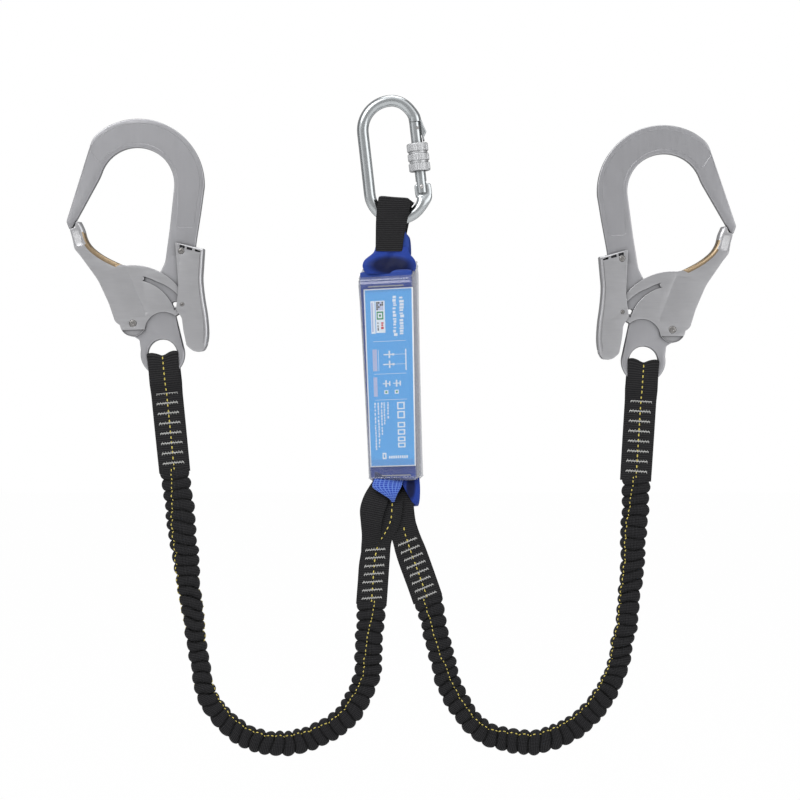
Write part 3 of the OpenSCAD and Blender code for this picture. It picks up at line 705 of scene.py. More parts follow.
def carabiner_rod(shell):
    """Rod from the nose, over the top bow, down the spine and round to the hinge, where it is forged flat.

    A station is (point, half width, half depth)."""
    origin = Vector((0, 0, 0))
    stations = [(Vector((19.9, 0, 4.6)), 5.15, 5.15), (Vector((19.8, 0, 6.4)), 5.15, 5.15),
                (polar(origin, 21.5, 26), 5.0, 5.0)]
    stations += [(polar(origin, r, a), ROD_R, ROD_R) for r, a in ((22.0, 38), (22.9, 52), (23.8, 66))]
    stations += [(polar(origin, TOP_R, a), ROD_R, ROD_R) for a in range(80, 181, 10)]
    stations += [(Vector((-TOP_R, 0, -SPINE * k / 5)), ROD_R, ROD_R) for k in range(1, 5)]
    stations += [(polar(LOW_BOW, LOW_R, a), ROD_R, ROD_R) for a in range(180, 311, 10)]
    stations += [(polar(LOW_BOW, LOW_R, 322), 4.9, 4.7), (polar(LOW_BOW, LOW_R, 333), 5.5, 4.1)]
    stations += [(Vector((x, 0, z)), wide, deep) for x, z, wide, deep in (
        (20.3, -58.6, 6.4, 3.1), (20.2, -55.9, 6.9, 2.1), (20.1, -52.0, 7.0, 2.0), (20.1, -48.2, 6.7, 2.0),
        (20.1, -47.0, 5.2, 1.7))]
    path = smooth([[p, Vector((wide, deep, 0))] for p, wide, deep in stations], 6)
    middle = [p for p, _ in path]
    rings, vs, v, sides = [], [], 0.0, 40
    for i, (p, size) in enumerate(path):
        out = (heading(middle, i) if i else Z).cross(Y)
        v += (p - middle[max(i - 1, 0)]).length
        vs.append(v)
        rings.append([p + out * size.x * math.cos(a) + Y * size.y * math.sin(a) for a in full_turn(sides)])
    shell.grid(rings, [0.75 * j for j in range(sides + 1)], vs)


def build_carabiner_frame():
    """Rod with the claw and the tongue that the gate's latch pin drops between."""
    shell = Shell()
    carabiner_rod(shell)
    claw = rounded([(22.4, 7.4, 1), (25.2, 5.6, 3), (26.4, 0.5, 4), (28.2, -4.6, 1.2), (25.6, -8.6, 1),
                    (25.9, -11.9, 0.4), (24.5, -12.2, 0.4), (24.05, -6), (24.05, 4.0, 0.5), (21.5, 4.75)])
    plate(shell, claw, 3.0, 0.9)
    tongue = rounded([(20.2, -5.4, 0.5), (20.2, 5.6), (24.9, 5.6), (24.9, -6.6, 0.5), (23.0, -6.9, 0.5),
                      (23.0, -3.0, 1.2), (20.9, -3.2, 0.8)])
    plate(shell, tongue, 1.4, 0.2)
    stand_in("carabiner_frame", shell, ["zinc"], on_carabiner, "carabiner", 40)


def build_hinge_rivet():
    """Domed rivet through the gate's hinge."""
    dome = [(0.4, -4.95), (1.1, -4.88), (1.6, -4.65), (1.8, -4.3)]
    shell = turned(dome, Vector((GATE_X, 0, -49.7)), 28)
    stand_in("carabiner_hinge_rivet", shell, ["pin"], on_carabiner, "carabiner")


def sleeve_outside(z):
    """Radius of the sleeve's outside and depth of its knurling, from 0 to 1, at the height z."""
    for groove in (7.6, 15.4):
        d = abs(z - groove)
        if d < 1.25:
            return SLEEVE_R - 0.85 * limit((1.25 - d) / 0.4), 0.0
    edge = min(z, SLEEVE_LEN - z)
    return SLEEVE_R - 0.6 * max(0.0, 1 - edge / 0.7) ** 2, min(1.0, edge / 1.2)


def build_sleeve():
    """Knurled screw sleeve with two grooves and a stepped bore."""
    low, sides, steps = SLEEVE_TOP - SLEEVE_LEN, 120, 58
    levels = [(low + z, *sleeve_outside(z)) for z in (SLEEVE_LEN * k / steps for k in range(steps + 1))]
    levels += [(z, r, 0.0) for z, r in (
        (SLEEVE_TOP, 7.35), (SLEEVE_TOP - 0.3, 7.1), (SLEEVE_TOP - 6.6, 7.1), (SLEEVE_TOP - 6.7, 4.7),
        (low + 0.3, 4.7), (low, 5.0))]
    rings, vs = [], []
    for z, r, knurl in levels:
        bites = [r + 0.16 * (1 if (j // 2) % 2 else -1) * knurl for j in range(sides)]
        rings.append([Vector((GATE_X + bite * math.cos(a), bite * math.sin(a), z))
                      for bite, a in zip(bites, full_turn(sides))])
        vs.append(z)
    shell = Shell()
    shell.grid(rings + rings[:1], [j * 0.45 for j in range(sides + 1)], vs + vs[:1], caps=False)
    stand_in("screw_lock_sleeve", shell, ["sleeve"], on_carabiner, "lock_sleeve", 25)


def dress_cad_nodes():
    """Rigid CAD nodes that are shown as they are get a worked metal surface, and the gate rounded rims."""
    springs = [f"{side}_{part}_spring" for side in SIDES for part in ("gate", "lever")]
    for look, names in (("zinc", ["carabiner_gate"]), ("pin", ["gate_latch_pin", "gate_plunger"]),
                        ("spring", ["gate_return_spring"] + springs)):
        for name in names:
            node = frame["nodes"][name]
            node.data.materials.clear()
            node.data.materials.append(LOOKS[look][0])
    gate = frame["nodes"]["carabiner_gate"]
    rim = gate.modifiers.new("rim", "BEVEL")
    rim.width, rim.segments, rim.limit_method = 0.35 * MM, 2, "ANGLE"
    rim.angle_limit = math.radians(40)
    gate.modifiers.new("even", "WEIGHTED_NORMAL")


# ---------------------------------------------------------------- absorber

PACK_CENTRE = Vector((0, 0, -200))
PACK_LEAN, PACK_YAW = math.radians(-2.2), math.radians(-14)
PACK_W, PACK_D, PACK_H = (20.5, 23.5), 12.75, 90.5     # half sizes; the width's are at the bottom and the top


def on_pack(p):
    """Places a drawing of the absorber pack, measured from its centre."""
    c, s = math.cos(PACK_YAW), math.sin(PACK_YAW)
    q = Vector((p.x * c - p.y * s, p.x * s + p.y * c, p.z))
    return PACK_CENTRE + leaned(q, PACK_LEAN)


def pack_half(z):
    """Half width of the pack, which is wider at its top."""
    return PACK_W[0] + (PACK_W[1] - PACK_W[0]) * (z + PACK_H) / (2 * PACK_H)


def rounded_ring(w, d, r, z):
    """Rounded rectangle across the pack at height z; near the top its front side sinks."""
    ring = []
    for cx, cy, a0 in ((w - r, d - r, 0), (r - w, d - r, 90), (r - w, r - d, 180), (w - r, r - d, 270)):
        for k in range(7):
            a = math.radians(a0 + 15 * k)
            y = cy + r * math.sin(a)
            sink = 12.5 * limit((z - 66) / 22) * limit(0.5 - 0.62 * y / d)
            ring.append(Vector((cx + r * math.cos(a), y, z - sink)))
    return ring


def build_cover():
    """Clear cover: shoulders slope in at the top, welded ribs run round both ends."""
    shell = Shell()
    # height, and how far the sides and the faces stand in
    sections = [(-90.5, 2.2, 2.6), (-89.8, 1.7, 2.0), (-88.6, 0.4, 0.4), (-87.9, -0.15, -0.15),
                (-87.0, 0.15, 0.15), (-84.5, 0.1, 0.1), (-60, 0.25, 0.5), (-20, 0.4, 0.6), (20, 0.4, 0.6),
                (60, 0.25, 0.5), (76, 0.1, 0.1), (80, 0.1, 0.15), (83, 0.3, 0.5), (85.2, 0.4, 0.8),
                (86.4, 0.1, 0.3), (87.4, 0.5, 0.8), (88.8, 0.8, 1.2), (90.0, 0.5, 0.7), (90.7, 1.0, 1.4)]
    rings, vs = [], []
    for wall, corner, order in ((0.0, 1.9, sections), (0.55, 1.4, sections[::-1])):
        for z, side, face in order:
            rings.append(rounded_ring(pack_half(z) - side - wall, PACK_D - face - wall, corner, z))
            vs.append(z)
    shell.grid(rings + rings[:1], [j * 4.5 for j in range(len(rings[0]) + 1)], vs + vs[:1], caps=False)
    stand_in("absorber_cover", shell, ["film"], on_pack, "absorber", 28)


def build_tear_webbing():
    """Webbing folded to and fro, with round folds at the ends."""
    layers, reach, pitch, thick, drop = 8, 84.0, 2.6, 2.1, 3.6
    path = []
    for i in range(layers):
        y = (i - (layers - 1) / 2) * pitch
        way = 1 if i % 2 == 0 else -1
        length = reach + 1.2 * (wave01(i + 3) - 0.5)
        for k in range(13):
            f = k / 12 * 2 - 1
            path.append((y + 0.12 * math.sin(3 * f + i), way * f * length - drop))
        if i < layers - 1:
            for k in range(1, 6):
                a = math.pi * k / 6
                z = way * (length + pitch * 0.62 * math.sin(a)) - drop
                path.append((y + pitch / 2 * (1 - math.cos(a)), z))
    rows = [[Vector(((pack_half(z) - 1.5) * (j / 7 - 1), y, z)) for j in range(15)] for y, z in path]
    shell = Shell()
    shell.sheet(rows, thick)
    stand_in("tear_webbing", shell, ["blue"], on_pack, "absorber", 50)


def build_absorber_tacks():
    """Stitching at both ends of the tear webbing."""
    shell = Shell()
    for seed, (z, face) in enumerate(((70.2, FRONT), (-86.2, FRONT), (70.2, BACK), (-86.2, BACK))):
        zigzag(shell, Vector((0, 10.2 * face, z)), X, Y * face, 30, 1.2, 22, seed)
    stand_in("absorber_bar_tacks", shell, ["white"], on_pack, "absorber")


LABEL_W, LABEL_H = 18.5, 73.5       # half sizes
LABEL_Y = -PACK_D + 0.84            # the printed face
INKS = ["ink", "ink_grey", "ink_dark", "ink_green", "ink_red", "print"]
WHITE, GREY, DARK, GREEN, RED, BLUE = range(6)


def on_label(p):
    """Places the label's drawing on the pack's front, where it widens a little towards the top."""
    share = p.z / LABEL_H
    return on_pack(Vector((p.x * (1.09 + 0.045 * share) + 1.5 + 0.8 * share, p.y, p.z - 5.3)))


def build_label():
    """Printed card with a white border."""
    shell = Shell()
    low, high = Vector((-LABEL_W, LABEL_Y + 0.06, -LABEL_H)), Vector((LABEL_W, LABEL_Y + 0.46, LABEL_H))
    border = Vector((0.95, 0, 0.95))
    shell.block(low, high, 0, 0.12)
    shell.block(low + border - Y * 0.06, high - border - Y * 0.3, 1, 0.03)
    stand_in("absorber_label", shell, ["card", "print"], on_label, "absorber")


class Print:
    """Plain marks that stand in place of the label's printing."""

    def __init__(self):
        self.shell = Shell()

    def mark(self, x0, x1, z0, z1, ink=WHITE, level=0):
        """Rectangle. A higher level lies over a lower one."""
        self.shell.block((min(x0, x1), LABEL_Y - 0.05 - 0.02 * level, min(z0, z1)),
                         (max(x0, x1), LABEL_Y + 0.04, max(z0, z1)), ink, 0.02)

    def nest(self, x0, x1, z0, z1, rims, inks, level=0):
        """Rectangles one inside the other, each a rim narrower than the last."""
        for k, ink in enumerate(inks):
            self.mark(x0, x1, z0, z1, ink, level + k)
            if k < len(rims):
                x0, x1 = x0 + rims[k][0], x1 - rims[k][0]
                z0, z1 = z0 - rims[k][1], z1 + rims[k][1]

    def words(self, x, width, z_top, z_low, seed, ink=WHITE):
        """A column of short blocks that stands for a line of print, read sideways."""
        z, k = z_top, seed
        while z - 1.2 > z_low:
            size = 0.9 + 1.5 * wave01(k)
            x0 = x + width * 0.25 * (wave01(k + 9) - 0.5)
            x1 = x0 + width / 2 * (0.4 + 0.6 * wave01(k + 5))
            self.mark(x0 - width / 2, x1, z, max(z - size, z_low), ink, 1)
            z -= size + 0.55 + 0.7 * (wave01(k + 2) > 0.75)
            k += 1


def build_label_marks():
    """Blocks in place of the heading, a sign and a code, diagrams, lines of print and a row of boxes."""
    p = Print()
    p.words(10.0, 3.4, 66, 35, 1)
    p.words(4.6, 2.7, 67, 33.5, 40)
    p.mark(-13.6, -10.4, 63.5, 36.5)
    p.mark(-13.0, -11.9, 62, 38, GREY, 1)
    p.mark(-9.9, -2.9, 63.5, 37)
    for k in range(16):
        x, z = -9.3 + 1.35 * (k % 4), 62.6 - 1.75 * (k // 4)
        p.mark(x, x + 1.2, z, z - 1.6, DARK if wave01(k + 300) > 0.35 else GREY, 1)
    p.nest(-9.2, -4.2, 54.6, 48.0, [(0.8, 1.1), (1.0, 1.3)], [GREEN, WHITE, GREEN], 1)
    p.words(-4.9, 2.0, 45.6, 38.6, 210, RED)
    p.words(-8.3, 1.0, 45.6, 39.0, 70, DARK)
    p.mark(-12.5, 12.5, 30.1, 29.8)
    p.mark(-13.4, -10.0, 23.5, 5.5, GREY)
    p.mark(-9.0, -8.7, 23.0, 5.5)
    p.mark(11.8, 12.7, 23.0, 5.5)
    p.mark(2.5, 11.8, 19.0, 18.7)
    p.mark(-2.5, 11.8, 10.9, 10.6)
    for z, length in ((18.9, 4.5), (10.8, 5.5)):
        p.mark(-2.6 - length / 2, 2.4, z + 0.5, z - 0.5)
        p.mark(-1.0, 0.2, z + 3.0, z - 3.0)
        p.mark(1.9, 3.4, z + 0.9, z - 0.9)
    p.mark(-12.5, 12.5, 3.2, 2.9)
    p.mark(-13.4, -10.4, 0.5, -15.5, GREY)
    for x in (-3.6, 4.6):
        p.mark(x - 2.6, x + 2.6, -4.6, -5.4)
        p.mark(x - 0.6, x + 0.6, -2.2, -7.8)
        p.mark(x + 2.4, x + 3.4, -3.0, -7.0)
        p.nest(x - 1.6, x + 1.6, -10.4, -13.6, [(0.9, 0.9)], [WHITE, GREEN])
    p.mark(-12.5, 12.5, -18.2, -18.5)
    for k, (x, low) in enumerate(((-12.8, -60), (-10.2, -58), (-7.6, -47), (-5.4, -40), (-2.6, -34))):
        p.words(x, 1.2, -20.5, low, 90 + 13 * k)
    for z, height in ((-20.5, 6.0), (-28.0, 6.0), (-37.0, 4.5), (-43.0, 4.5), (-49.0, 4.0), (-54.0, 4.0)):
        p.nest(4.6, 10.6, z, z - height, [(1.1, 1.0)], [WHITE, BLUE])
    for k in range(9):
        x = -3.0 + 1.75 * k
        p.mark(x, x + 1.25, -64.6, -66.8)
    p.nest(-8.2, -5.0, -62.0, -67.2, [(1.0, 1.2)], [WHITE, BLUE])
    make("absorber_label_marks", p.shell, INKS, on_label, "absorber")


def saddle(r, share, margin=0.0):
    """Point inside the carabiner's lower bow, for a share from 0 at the left to 1 at the right."""
    return polar(JOINT["absorber_swing"], r, 200 + margin + (124 - 2 * margin) * share)


def loop_rows(stations, r, margin, across=18):
    """Rows of a strap that climbs in front of the bow, dips over it and comes down behind.

    A station is (height, left edge, right edge, distance from the middle plane)."""
    def row(z, xa, xb, y, drop=0.0, share=0.0):
        """A row whose right edge is lower by drop and which takes a share of the saddle's shape."""
        points = []
        for j in range(across + 1):
            s = j / across
            flat = Vector((xa + (xb - xa) * s, y, z - drop * s))
            points.append(flat.lerp(saddle(r, s, margin) + Y * y, share))
        return points

    z, xa, xb, y = stations[-1]
    half = [row(*station) for station in stations[:-1]] + [row(z, xa, xb, y, 1.8)]
    half += [row(z + rise, xa + narrow, xb - narrow, y * depth, drop, share)
             for rise, narrow, depth, drop, share in (
                 (2.0, 0.6, 0.88, 1.8, 0.02), (2.4, 1.2, 0.62, 1.8, 0.15),
                 (1.4, 1.0, 0.36, 1.8, 0.6), (0.0, 0.0, 0.15, 0.0, 0.93))]
    back = [[Vector((p.x + 1.6 * (j / across) ** 2, -p.y, p.z)) for j, p in enumerate(line)]
            for line in reversed(half)]
    middle = [[saddle(r, j / across, margin) for j in range(across + 1)]]
    return smooth(half + middle + back, 4)


def build_wear_sleeve():
    """Black sleeve round the blue loop where it bears on the carabiner."""
    shell = Shell()
    shell.sheet(loop_rows([
        (-101.2, -13.6, 8.6, -8.6), (-97, -13.6, 8.9, -8.5), (-88, -13.5, 10.2, -8.3),
        (-76, -13.3, 12.6, -8.3), (-66, -12.5, 14.6, -8.3), (-58, -11.4, 14.9, -8.2)], 15.8, 0), 1.9)
    stand_in("top_loop_wear_sleeve", shell, ["black"], None, "absorber", 60)


def skirt_rows(face):
    """Rows of the loop's wide end: it spreads below the wear sleeve, bulges and tucks into the cover."""
    rows = []
    for k in range(25):
        f = k / 24
        spread = 1 / (1 + math.exp(-(f - 0.36) * 11))
        tuck = max(0.0, (f - 0.72) / 0.28)
        xa = -13.6 - 11.0 * spread + 3.4 * tuck ** 1.5
        xb = 13.0 + 7.2 * spread - 2.4 * tuck ** 1.5
        out = 6.9 + 4.3 * math.sin(min(1, f * 1.25) * math.pi / 2) - 1.6 * tuck
        z = -97.5 - 22.0 * f
        row = []
        for j in range(29):
            s = j / 28
            edge = 2 * s - 1
            dent = 3.6 * math.exp(-(edge / 0.42) ** 2) * math.sin(math.pi * min(1, f * 1.05)) ** 2
            round_off = 2.2 * abs(edge) ** 5 * spread
            wrinkle = 0.35 * math.sin(s * 21 + f * 4) * spread
            row.append(Vector((xa + (xb - xa) * s, face * (out - dent - round_off + wrinkle), z)))
        rows.append(row)
    return rows


def build_top_loop():
    """Blue loop inside the wear sleeve, with its wide ends in front and behind."""
    shell = Shell()
    shell.sheet(loop_rows([
        (-103, -14.4, 14.4, -6.6), (-96, -13.2, 14.2, -6.3), (-89, -12.8, 13.2, -6.2),
        (-84, -12.4, 9.6, -6.2), (-76, -12.0, 7.0, -6.2), (-66, -10.5, 5.0, -6.1)], 17.4, 26.0), 1.3)
    for face in (FRONT, BACK):
        shell.sheet(skirt_rows(face), 1.6, 1)
    stand_in("top_loop", shell, ["blue", "fold"], None, "absorber", 60)


def build_bottom_loop():
    """Blue loop below the pack: two strands in front that the legs hitch on, and the wide ply behind."""
    shell = Shell()
    ribbon(shell, [(-14.4, -5.6, -284, 9.8, -5.6, -284), (-14.6, -7.6, -289, 9.4, -7.8, -289),
                   (-16.2, -11.8, -295.6, 7.9, -12.4, -295), (-9.0, -13.4, -300.8, 5.2, -13.8, -300),
                   (-2.6, -13.0, -304.6, 3.0, -13.2, -304.2), (0.0, -10.6, -307.6, 1.8, -10.6, -307.3)],
           2.0, 0, 16, 0.5)
    ribbon(shell, [(5.5, -4.8, -284, 22.0, -3.4, -284), (7.0, -6.4, -290, 22.8, -5.0, -290),
                   (10.2, -8.2, -297, 23.2, -7.4, -297), (14.6, -7.8, -304.5, 22.9, -7.4, -304),
                   (17.6, -5.0, -309.4, 22.2, -5.0, -308.6), (18.2, -0.5, -311.4, 21.6, -0.5, -311)],
           2.0, 1, 14, 0.8)
    ribbon(shell, [(-14, 7.2, -284, 21.5, 7.2, -284), (-13.6, 9.8, -290, 21, 9.8, -290),
                   (-12.4, 11.6, -298, 19.4, 11.6, -298), (-9, 9.8, -307, 16.6, 9.8, -307),
                   (-6.8, 4.0, -312.8, 14.6, 4.0, -312.8), (-5.2, -2.0, -313.0, 13.0, -2.0, -313.0),
                   (-3.4, -5.4, -309.6, 11, -5.4, -309.6)],
           2.0, 0, 18, -0.6)
    stand_in("bottom_loop", shell, ["grid", "shaded"], None, "absorber", 50)


# ---------------------------------------------------------------- legs

class Leg:
    """Centre line of one leg, from the knot to the hook's eye, found from its joints."""

    def __init__(self, side):
        self.side, self.left = side, side == "left"
        self.knot = JOINT[f"{side}_leg_swing"]
        self.flex = [JOINT[f"{side}_leg_flex_1"], JOINT[f"{side}_leg_flex_2"]]
        self.eye = JOINT[f"{side}_hook_swing"]
        shift, drop, self.radius = (-3.8, 48, 69.0) if self.left else (16.3, 45.3, 76.0)
        self.start = Vector((self.knot.x + shift, 0, self.knot.z - drop))
        self.end = self.eye + Vector((9.6, 0, -96.1) if self.left else (-6.1, 0, -97.3))
        a, b = self.flex
        chord = b - a
        rise = math.sqrt(self.radius ** 2 - (chord.length / 2) ** 2)
        up = Vector((-chord.z, 0, chord.x)).normalized()
        self.centre = (a + b) / 2 + up * (rise if up.z > 0 else -rise)
        hand = -1 if self.left else 1
        a0, a1 = self.touch_angle(self.start, -hand), self.touch_angle(self.end, hand)
        while hand * (a1 - a0) < 0:
            a1 += hand * 2 * math.pi
        self.start += (self.knot - self.start).normalized() * 8
        self.path = self.trace(a0, a1)
        self.length = length_of(self.path)

    def touch_angle(self, p, hand):
        """Angle on the bend at which a straight run from p touches it, on the right (1) or the left (-1)."""
        d = p - self.centre
        return math.atan2(d.z, d.x) - hand * math.acos(min(1, self.radius / d.length))

    def on_bend(self, a):
        return self.centre + Vector((math.cos(a), 0, math.sin(a))) * self.radius

    def trace(self, a0, a1):
        """Points about 0.6 mm apart along both straight runs and the bend between them."""
        step, overlap = 0.6, 3
        begin = self.start + (self.knot - self.start).normalized() * overlap
        finish = self.end + (self.eye - self.end).normalized() * overlap
        runs = []
        for p, q in ((begin, self.on_bend(a0)), (self.on_bend(a1), finish)):
            n = max(1, round((q - p).length / step))
            runs.append([p.lerp(q, k / n) for k in range(n + 1)])
        n = round(abs(a1 - a0) * self.radius / step)
        bend = [self.on_bend(a0 + (a1 - a0) * k / n) for k in range(n + 1)]
        return runs[0][:-1] + bend + runs[1][1:]


def eased(f, knots):
    """Value at f on a soft curve through (place, value) knots."""
    for (f0, v0), (f1, v1) in zip(knots, knots[1:]):
        if f <= f1:
            s = max(0.0, (f - f0) / (f1 - f0))
            return v0 + (v1 - v0) * s * s * (3 - 2 * s)
    return knots[-1][1]


def pleat(turns):
    """Depth of the gathers, 0 in a valley and 1 on a crest, and the number of the pleat."""
    number = math.floor(turns)
    crest = math.sin(math.pi * (turns - number)) ** 0.55
    return 1 - (1 - crest) * (0.8 + 0.35 * wave01(number * 3 + 1)), number


# Soft curves along each leg, from the knot (0) to the hook (1): the tube's width, how far it strays sideways,
# how its pleats skew, in pleats, the angle of its tracer, and the stretch where pleats hide the tracer.
GATHERS = {
    "left": {
        "width": [(0, 24.4), (0.12, 23.2), (0.2, 22.0), (0.3, 21.0), (0.45, 20.4), (0.53, 18.2), (0.6, 16.8),
                  (0.68, 17.0), (0.76, 19.8), (0.84, 23.0), (0.9, 24.6), (1, 24.4)],
        "stray": [(0, 0), (0.14, 0), (0.2, -1.2), (0.33, -2.6), (0.42, 0), (0.55, 0.8), (0.74, 1.3), (1, 0)],
        "skew": [(0, 0.02), (0.5, 0.0), (0.65, -0.2), (0.8, -0.34), (1, -0.12)],
        "tracer": [(0, -86), (0.06, -91), (0.14, -100), (0.25, -114), (0.35, -124), (0.48, -126),
                   (0.56, -150), (0.6, -185), (0.64, -270), (0.68, -350), (0.76, -388), (0.86, -418),
                   (1, -446)],
        "hidden": (0.585, 0.668)},
    "right": {
        "width": [(0, 24.2), (0.06, 22.0), (0.19, 21.6), (0.27, 19.8), (0.36, 20.8), (0.45, 21.2),
                  (0.52, 20.0), (0.62, 19.0), (0.74, 19.0), (0.82, 20.2), (0.9, 22.4), (1, 24.0)],
        "stray": [(0, 0), (0.12, -0.8), (0.19, -1.0), (0.28, 3.0), (0.36, 1.2), (0.44, -2.2), (0.52, -5.6),
                  (0.6, -6.0), (0.66, -3.0), (0.72, 0), (0.8, 1.6), (1, 0.8)],
        "skew": [(0, 0.12), (0.3, 0.05), (0.5, 0.0), (0.75, 0.2), (1, 0.1)],
        "tracer": [(0, -98), (0.1, -92), (0.2, -80), (0.27, -72), (0.34, -56), (0.5, -48), (0.62, -40),
                   (0.75, -40), (0.88, -58), (1, -84)],
        "hidden": (0, 0)},
}
PLEAT_PITCH = 9.0
FULL_WIDTH = 24.4


class Gather:
    """The gathered look of one leg: how wide it is, how far it strays and how its pleats and tracer run."""

    def __init__(self, leg):
        self.length = leg.length
        self.curves = GATHERS[leg.side]
        self.outward = 1 if leg.left else -1

    def at(self, what, s):
        return eased(s / self.length, self.curves[what])

    def tracer_shows(self, s):
        low, high = self.curves["hidden"]
        return not low < s / self.length < high

    def ring(self, p, out, s, angles, scale=(1.0, 1.0), gather=1.0):
        """Points round the tube at the length s, for angles from the outside of the strap's plane."""
        end = limit(min(s, self.length - s) / 8.0)
        fade = gather * end
        full = self.at("width", s)
        width = full * scale[0]
        thick = (7.6 + 2.6 * end + 0.3 * (FULL_WIDTH - full)) * scale[1] * (0.42 + 0.58 * min(1, end * 1.6))
        middle = p + out * self.outward * self.at("stray", s)
        skew = self.at("skew", s)
        sway = 0.35 * math.sin(s / 7.3) + 0.25 * math.sin(s / 3.1 + 1)
        points = []
        for a in angles:
            cx = math.copysign(abs(math.cos(a)) ** 0.62, math.cos(a))
            cy = math.copysign(abs(math.sin(a)) ** 0.8, math.sin(a))
            wobble = 0.14 * math.sin(s / 11.0 + 2 * cx)
            depth, number = pleat(s / PLEAT_PITCH + skew * cx + wobble)
            lean = 0.9 * (wave01(number + 77) - 0.5)
            shrink = (1 - depth) * fade
            rx = width / 2 * (1 - 0.25 * shrink) + 0.5 * fade * lean * (1 - shrink)
            ry = thick / 2 * (1 - 0.48 * shrink) * (1 + 0.1 * lean * fade)
            points.append(middle + out * (cx * rx + sway * fade) + Y * cy * ry)
        return points


def elastic(shell, tracer, look, path, s0, scale=(1.0, 1.0), gather=1.0, sides=56):
    """Flat tube gathered into pleats along a path that starts at the length s0.

    tracer, if given, takes the running stitch on both faces."""
    rings, vs, s = [], [], s0
    lines = ([], [])
    for i, p in enumerate(path):
        out = heading(path, i).cross(Y)
        if i:
            s += (p - path[i - 1]).length
        rings.append(look.ring(p, out, s, full_turn(sides), scale, gather))
        vs.append(s)
        if tracer is None or not look.tracer_shows(s):
            continue
        a = math.radians(look.at("tracer", s))
        for line, angle in zip(lines, (a, a + math.pi)):
            q = look.ring(p, out, s, [angle])[0]
            normal = (out * math.cos(angle) * 0.6 + Y * math.sin(angle)).normalized()
            line.append((q + normal * 0.15, normal))
    shell.grid(rings, [j / sides * 60 for j in range(sides + 1)], vs)
    if tracer is not None:
        for line in lines:
            dashes(tracer, line, 3.9, 1.9, 0.44)


def split_path(leg):
    """Cuts the elastic's path in the middle of the bend, where it rides on the middle body."""
    def unevenness(i):
        p = leg.path[i]
        off_bend = 1000 if p.z > leg.centre.z else 0
        return abs((p - leg.flex[0]).length - (p - leg.flex[1]).length) + off_bend

    cut = min(range(len(leg.path)), key=unevenness)
    return leg.path[:cut + 1], leg.path[cut:]


CORE_GAP = 14       # points of the path that the core stops short of the sewn ends


def build_elastic(leg):
    """Jacket, core and tracer in an upper and a lower half, split in the middle of the bend."""
    side, look = leg.side, Gather(leg)
    upper, lower = split_path(leg)
    for part, path, s0, nodes, flex, bodies in (
            ("upper", upper, 0.0, ("upper", "middle"), leg.flex[0], ("upper", "middle")),
            ("lower", lower, length_of(upper), ("lower",), leg.flex[1], ("middle", "lower"))):
        jacket, core, tracer = Shell(), Shell(), Shell()
        elastic(jacket, tracer, look, path, s0)
        skip = CORE_GAP if part == "upper" else 0
        inner = path[skip:] if skip else path[:-CORE_GAP]
        elastic(core, None, look, inner, s0 + length_of(path[:skip + 1]), (0.5, 0.3), 0.2, 16)
        made = [make(f"{side}_elastic_{what}_{part}_visual", shell, [key], stands_for=[
            f"{side}_elastic_{what}_{node}" for node in nodes], angle=60)
            for what, shell, key in (("jacket", jacket, "elastic"), ("core", core, "core"))]
        made.append(make(f"{side}_elastic_tracer_{part}", tracer, ["yellow"]))
        for piece in made:
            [f"{side}_leg_{body}" for body in bodies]
            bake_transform(piece)


def hanging(top, bottom):
    """Places a drawing of a strap that hangs from top to bottom, measured from its top."""
    up = (top - bottom).normalized()
    across = Vector((up.z, 0, -up.x))
    return lambda p: top + across * p.x + Y * p.y + up * p.z


def hook_strap_rows(reach):
    """Rows of a strap that comes up in front, curls over the eye's rim and goes down behind."""
    def rim(x):
        """Lower edge of the eye's hole."""
        return -math.sqrt(max(4.0, 10.7 ** 2 - x * x))

    def lip(x):
        """Top edge of the strap, which dips in the middle."""
        return 0.8 - 3.0 * math.exp(-(x / 5.5) ** 2)

    # height, distance from the middle plane, half width, share taken by the lip and by the rim of the eye
    half = [(-reach - 2, -1.28, 12.8, 0, 0), (-reach + 14, -1.28, 12.9, 0, 0), (-60, -1.28, 13, 0, 0),
            (-40, -1.28, 13, 0, 0), (-34, -1.4, 13, 0, 0), (-29, -2.9, 13, 0, 0), (-24, -4.9, 13, 0, 0),
            (-19, -5.28, 12.9, 0, 0), (-13, -5.3, 12.8, 0.1, 0), (-8.5, -5.3, 12.7, 0.6, 0),
            (-4, -5.25, 12.5, 1, 0), (-2.6, -4.2, 12.0, 0.85, 0.15), (-2.6, -2.9, 11.4, 0.4, 0.6),
            (-2.6, -1.5, 10.5, 0.05, 0.95)]
    profile = half + [(-2.6, 0, 10.3, 0, 1)] + [(z, -y, *rest) for z, y, *rest in reversed(half)]
    rows = []
    for z, y, half_width, high, low in profile:
        xs = [half_width * (j / 10 - 1) for j in range(21)]
        rows.append([Vector((x, y, z * (1 - high - low) + lip(x) * high + rim(x) * low)) for x in xs])
    return smooth(rows, 5)


def build_hook_strap(leg):
    """Strap through the hook's eye, its two plies sewn together below, with a tracer down each face."""
    side, body = leg.side, f"{leg.side}_leg_lower"
    place = hanging(leg.eye, leg.end)
    reach = (leg.eye - leg.end).length
    shell, stitch, tacks = Shell(), Shell(), Shell()
    front = shell.sheet(hook_strap_rows(reach), 2.3, 0, 8)
    top = len(front) // 2
    for part, face in ((front[:top - 3], FRONT), (front[top + 3:], BACK)):
        dashes(stitch, middle_line(part, 1.2, face), 4.4, 2.5, 0.5)
    bar_tacks(tacks, 6 - reach, 8.3, lambda k: 2.5, X, 17.5, 0.7, 0)
    stand_in(f"{side}_hook_strap", shell, ["black"], place, body, 60)
    make(f"{side}_hook_strap_tracer", stitch, ["yellow"], place, body)
    stand_in(f"{side}_hook_bar_tacks", tacks, ["white"], place, body)


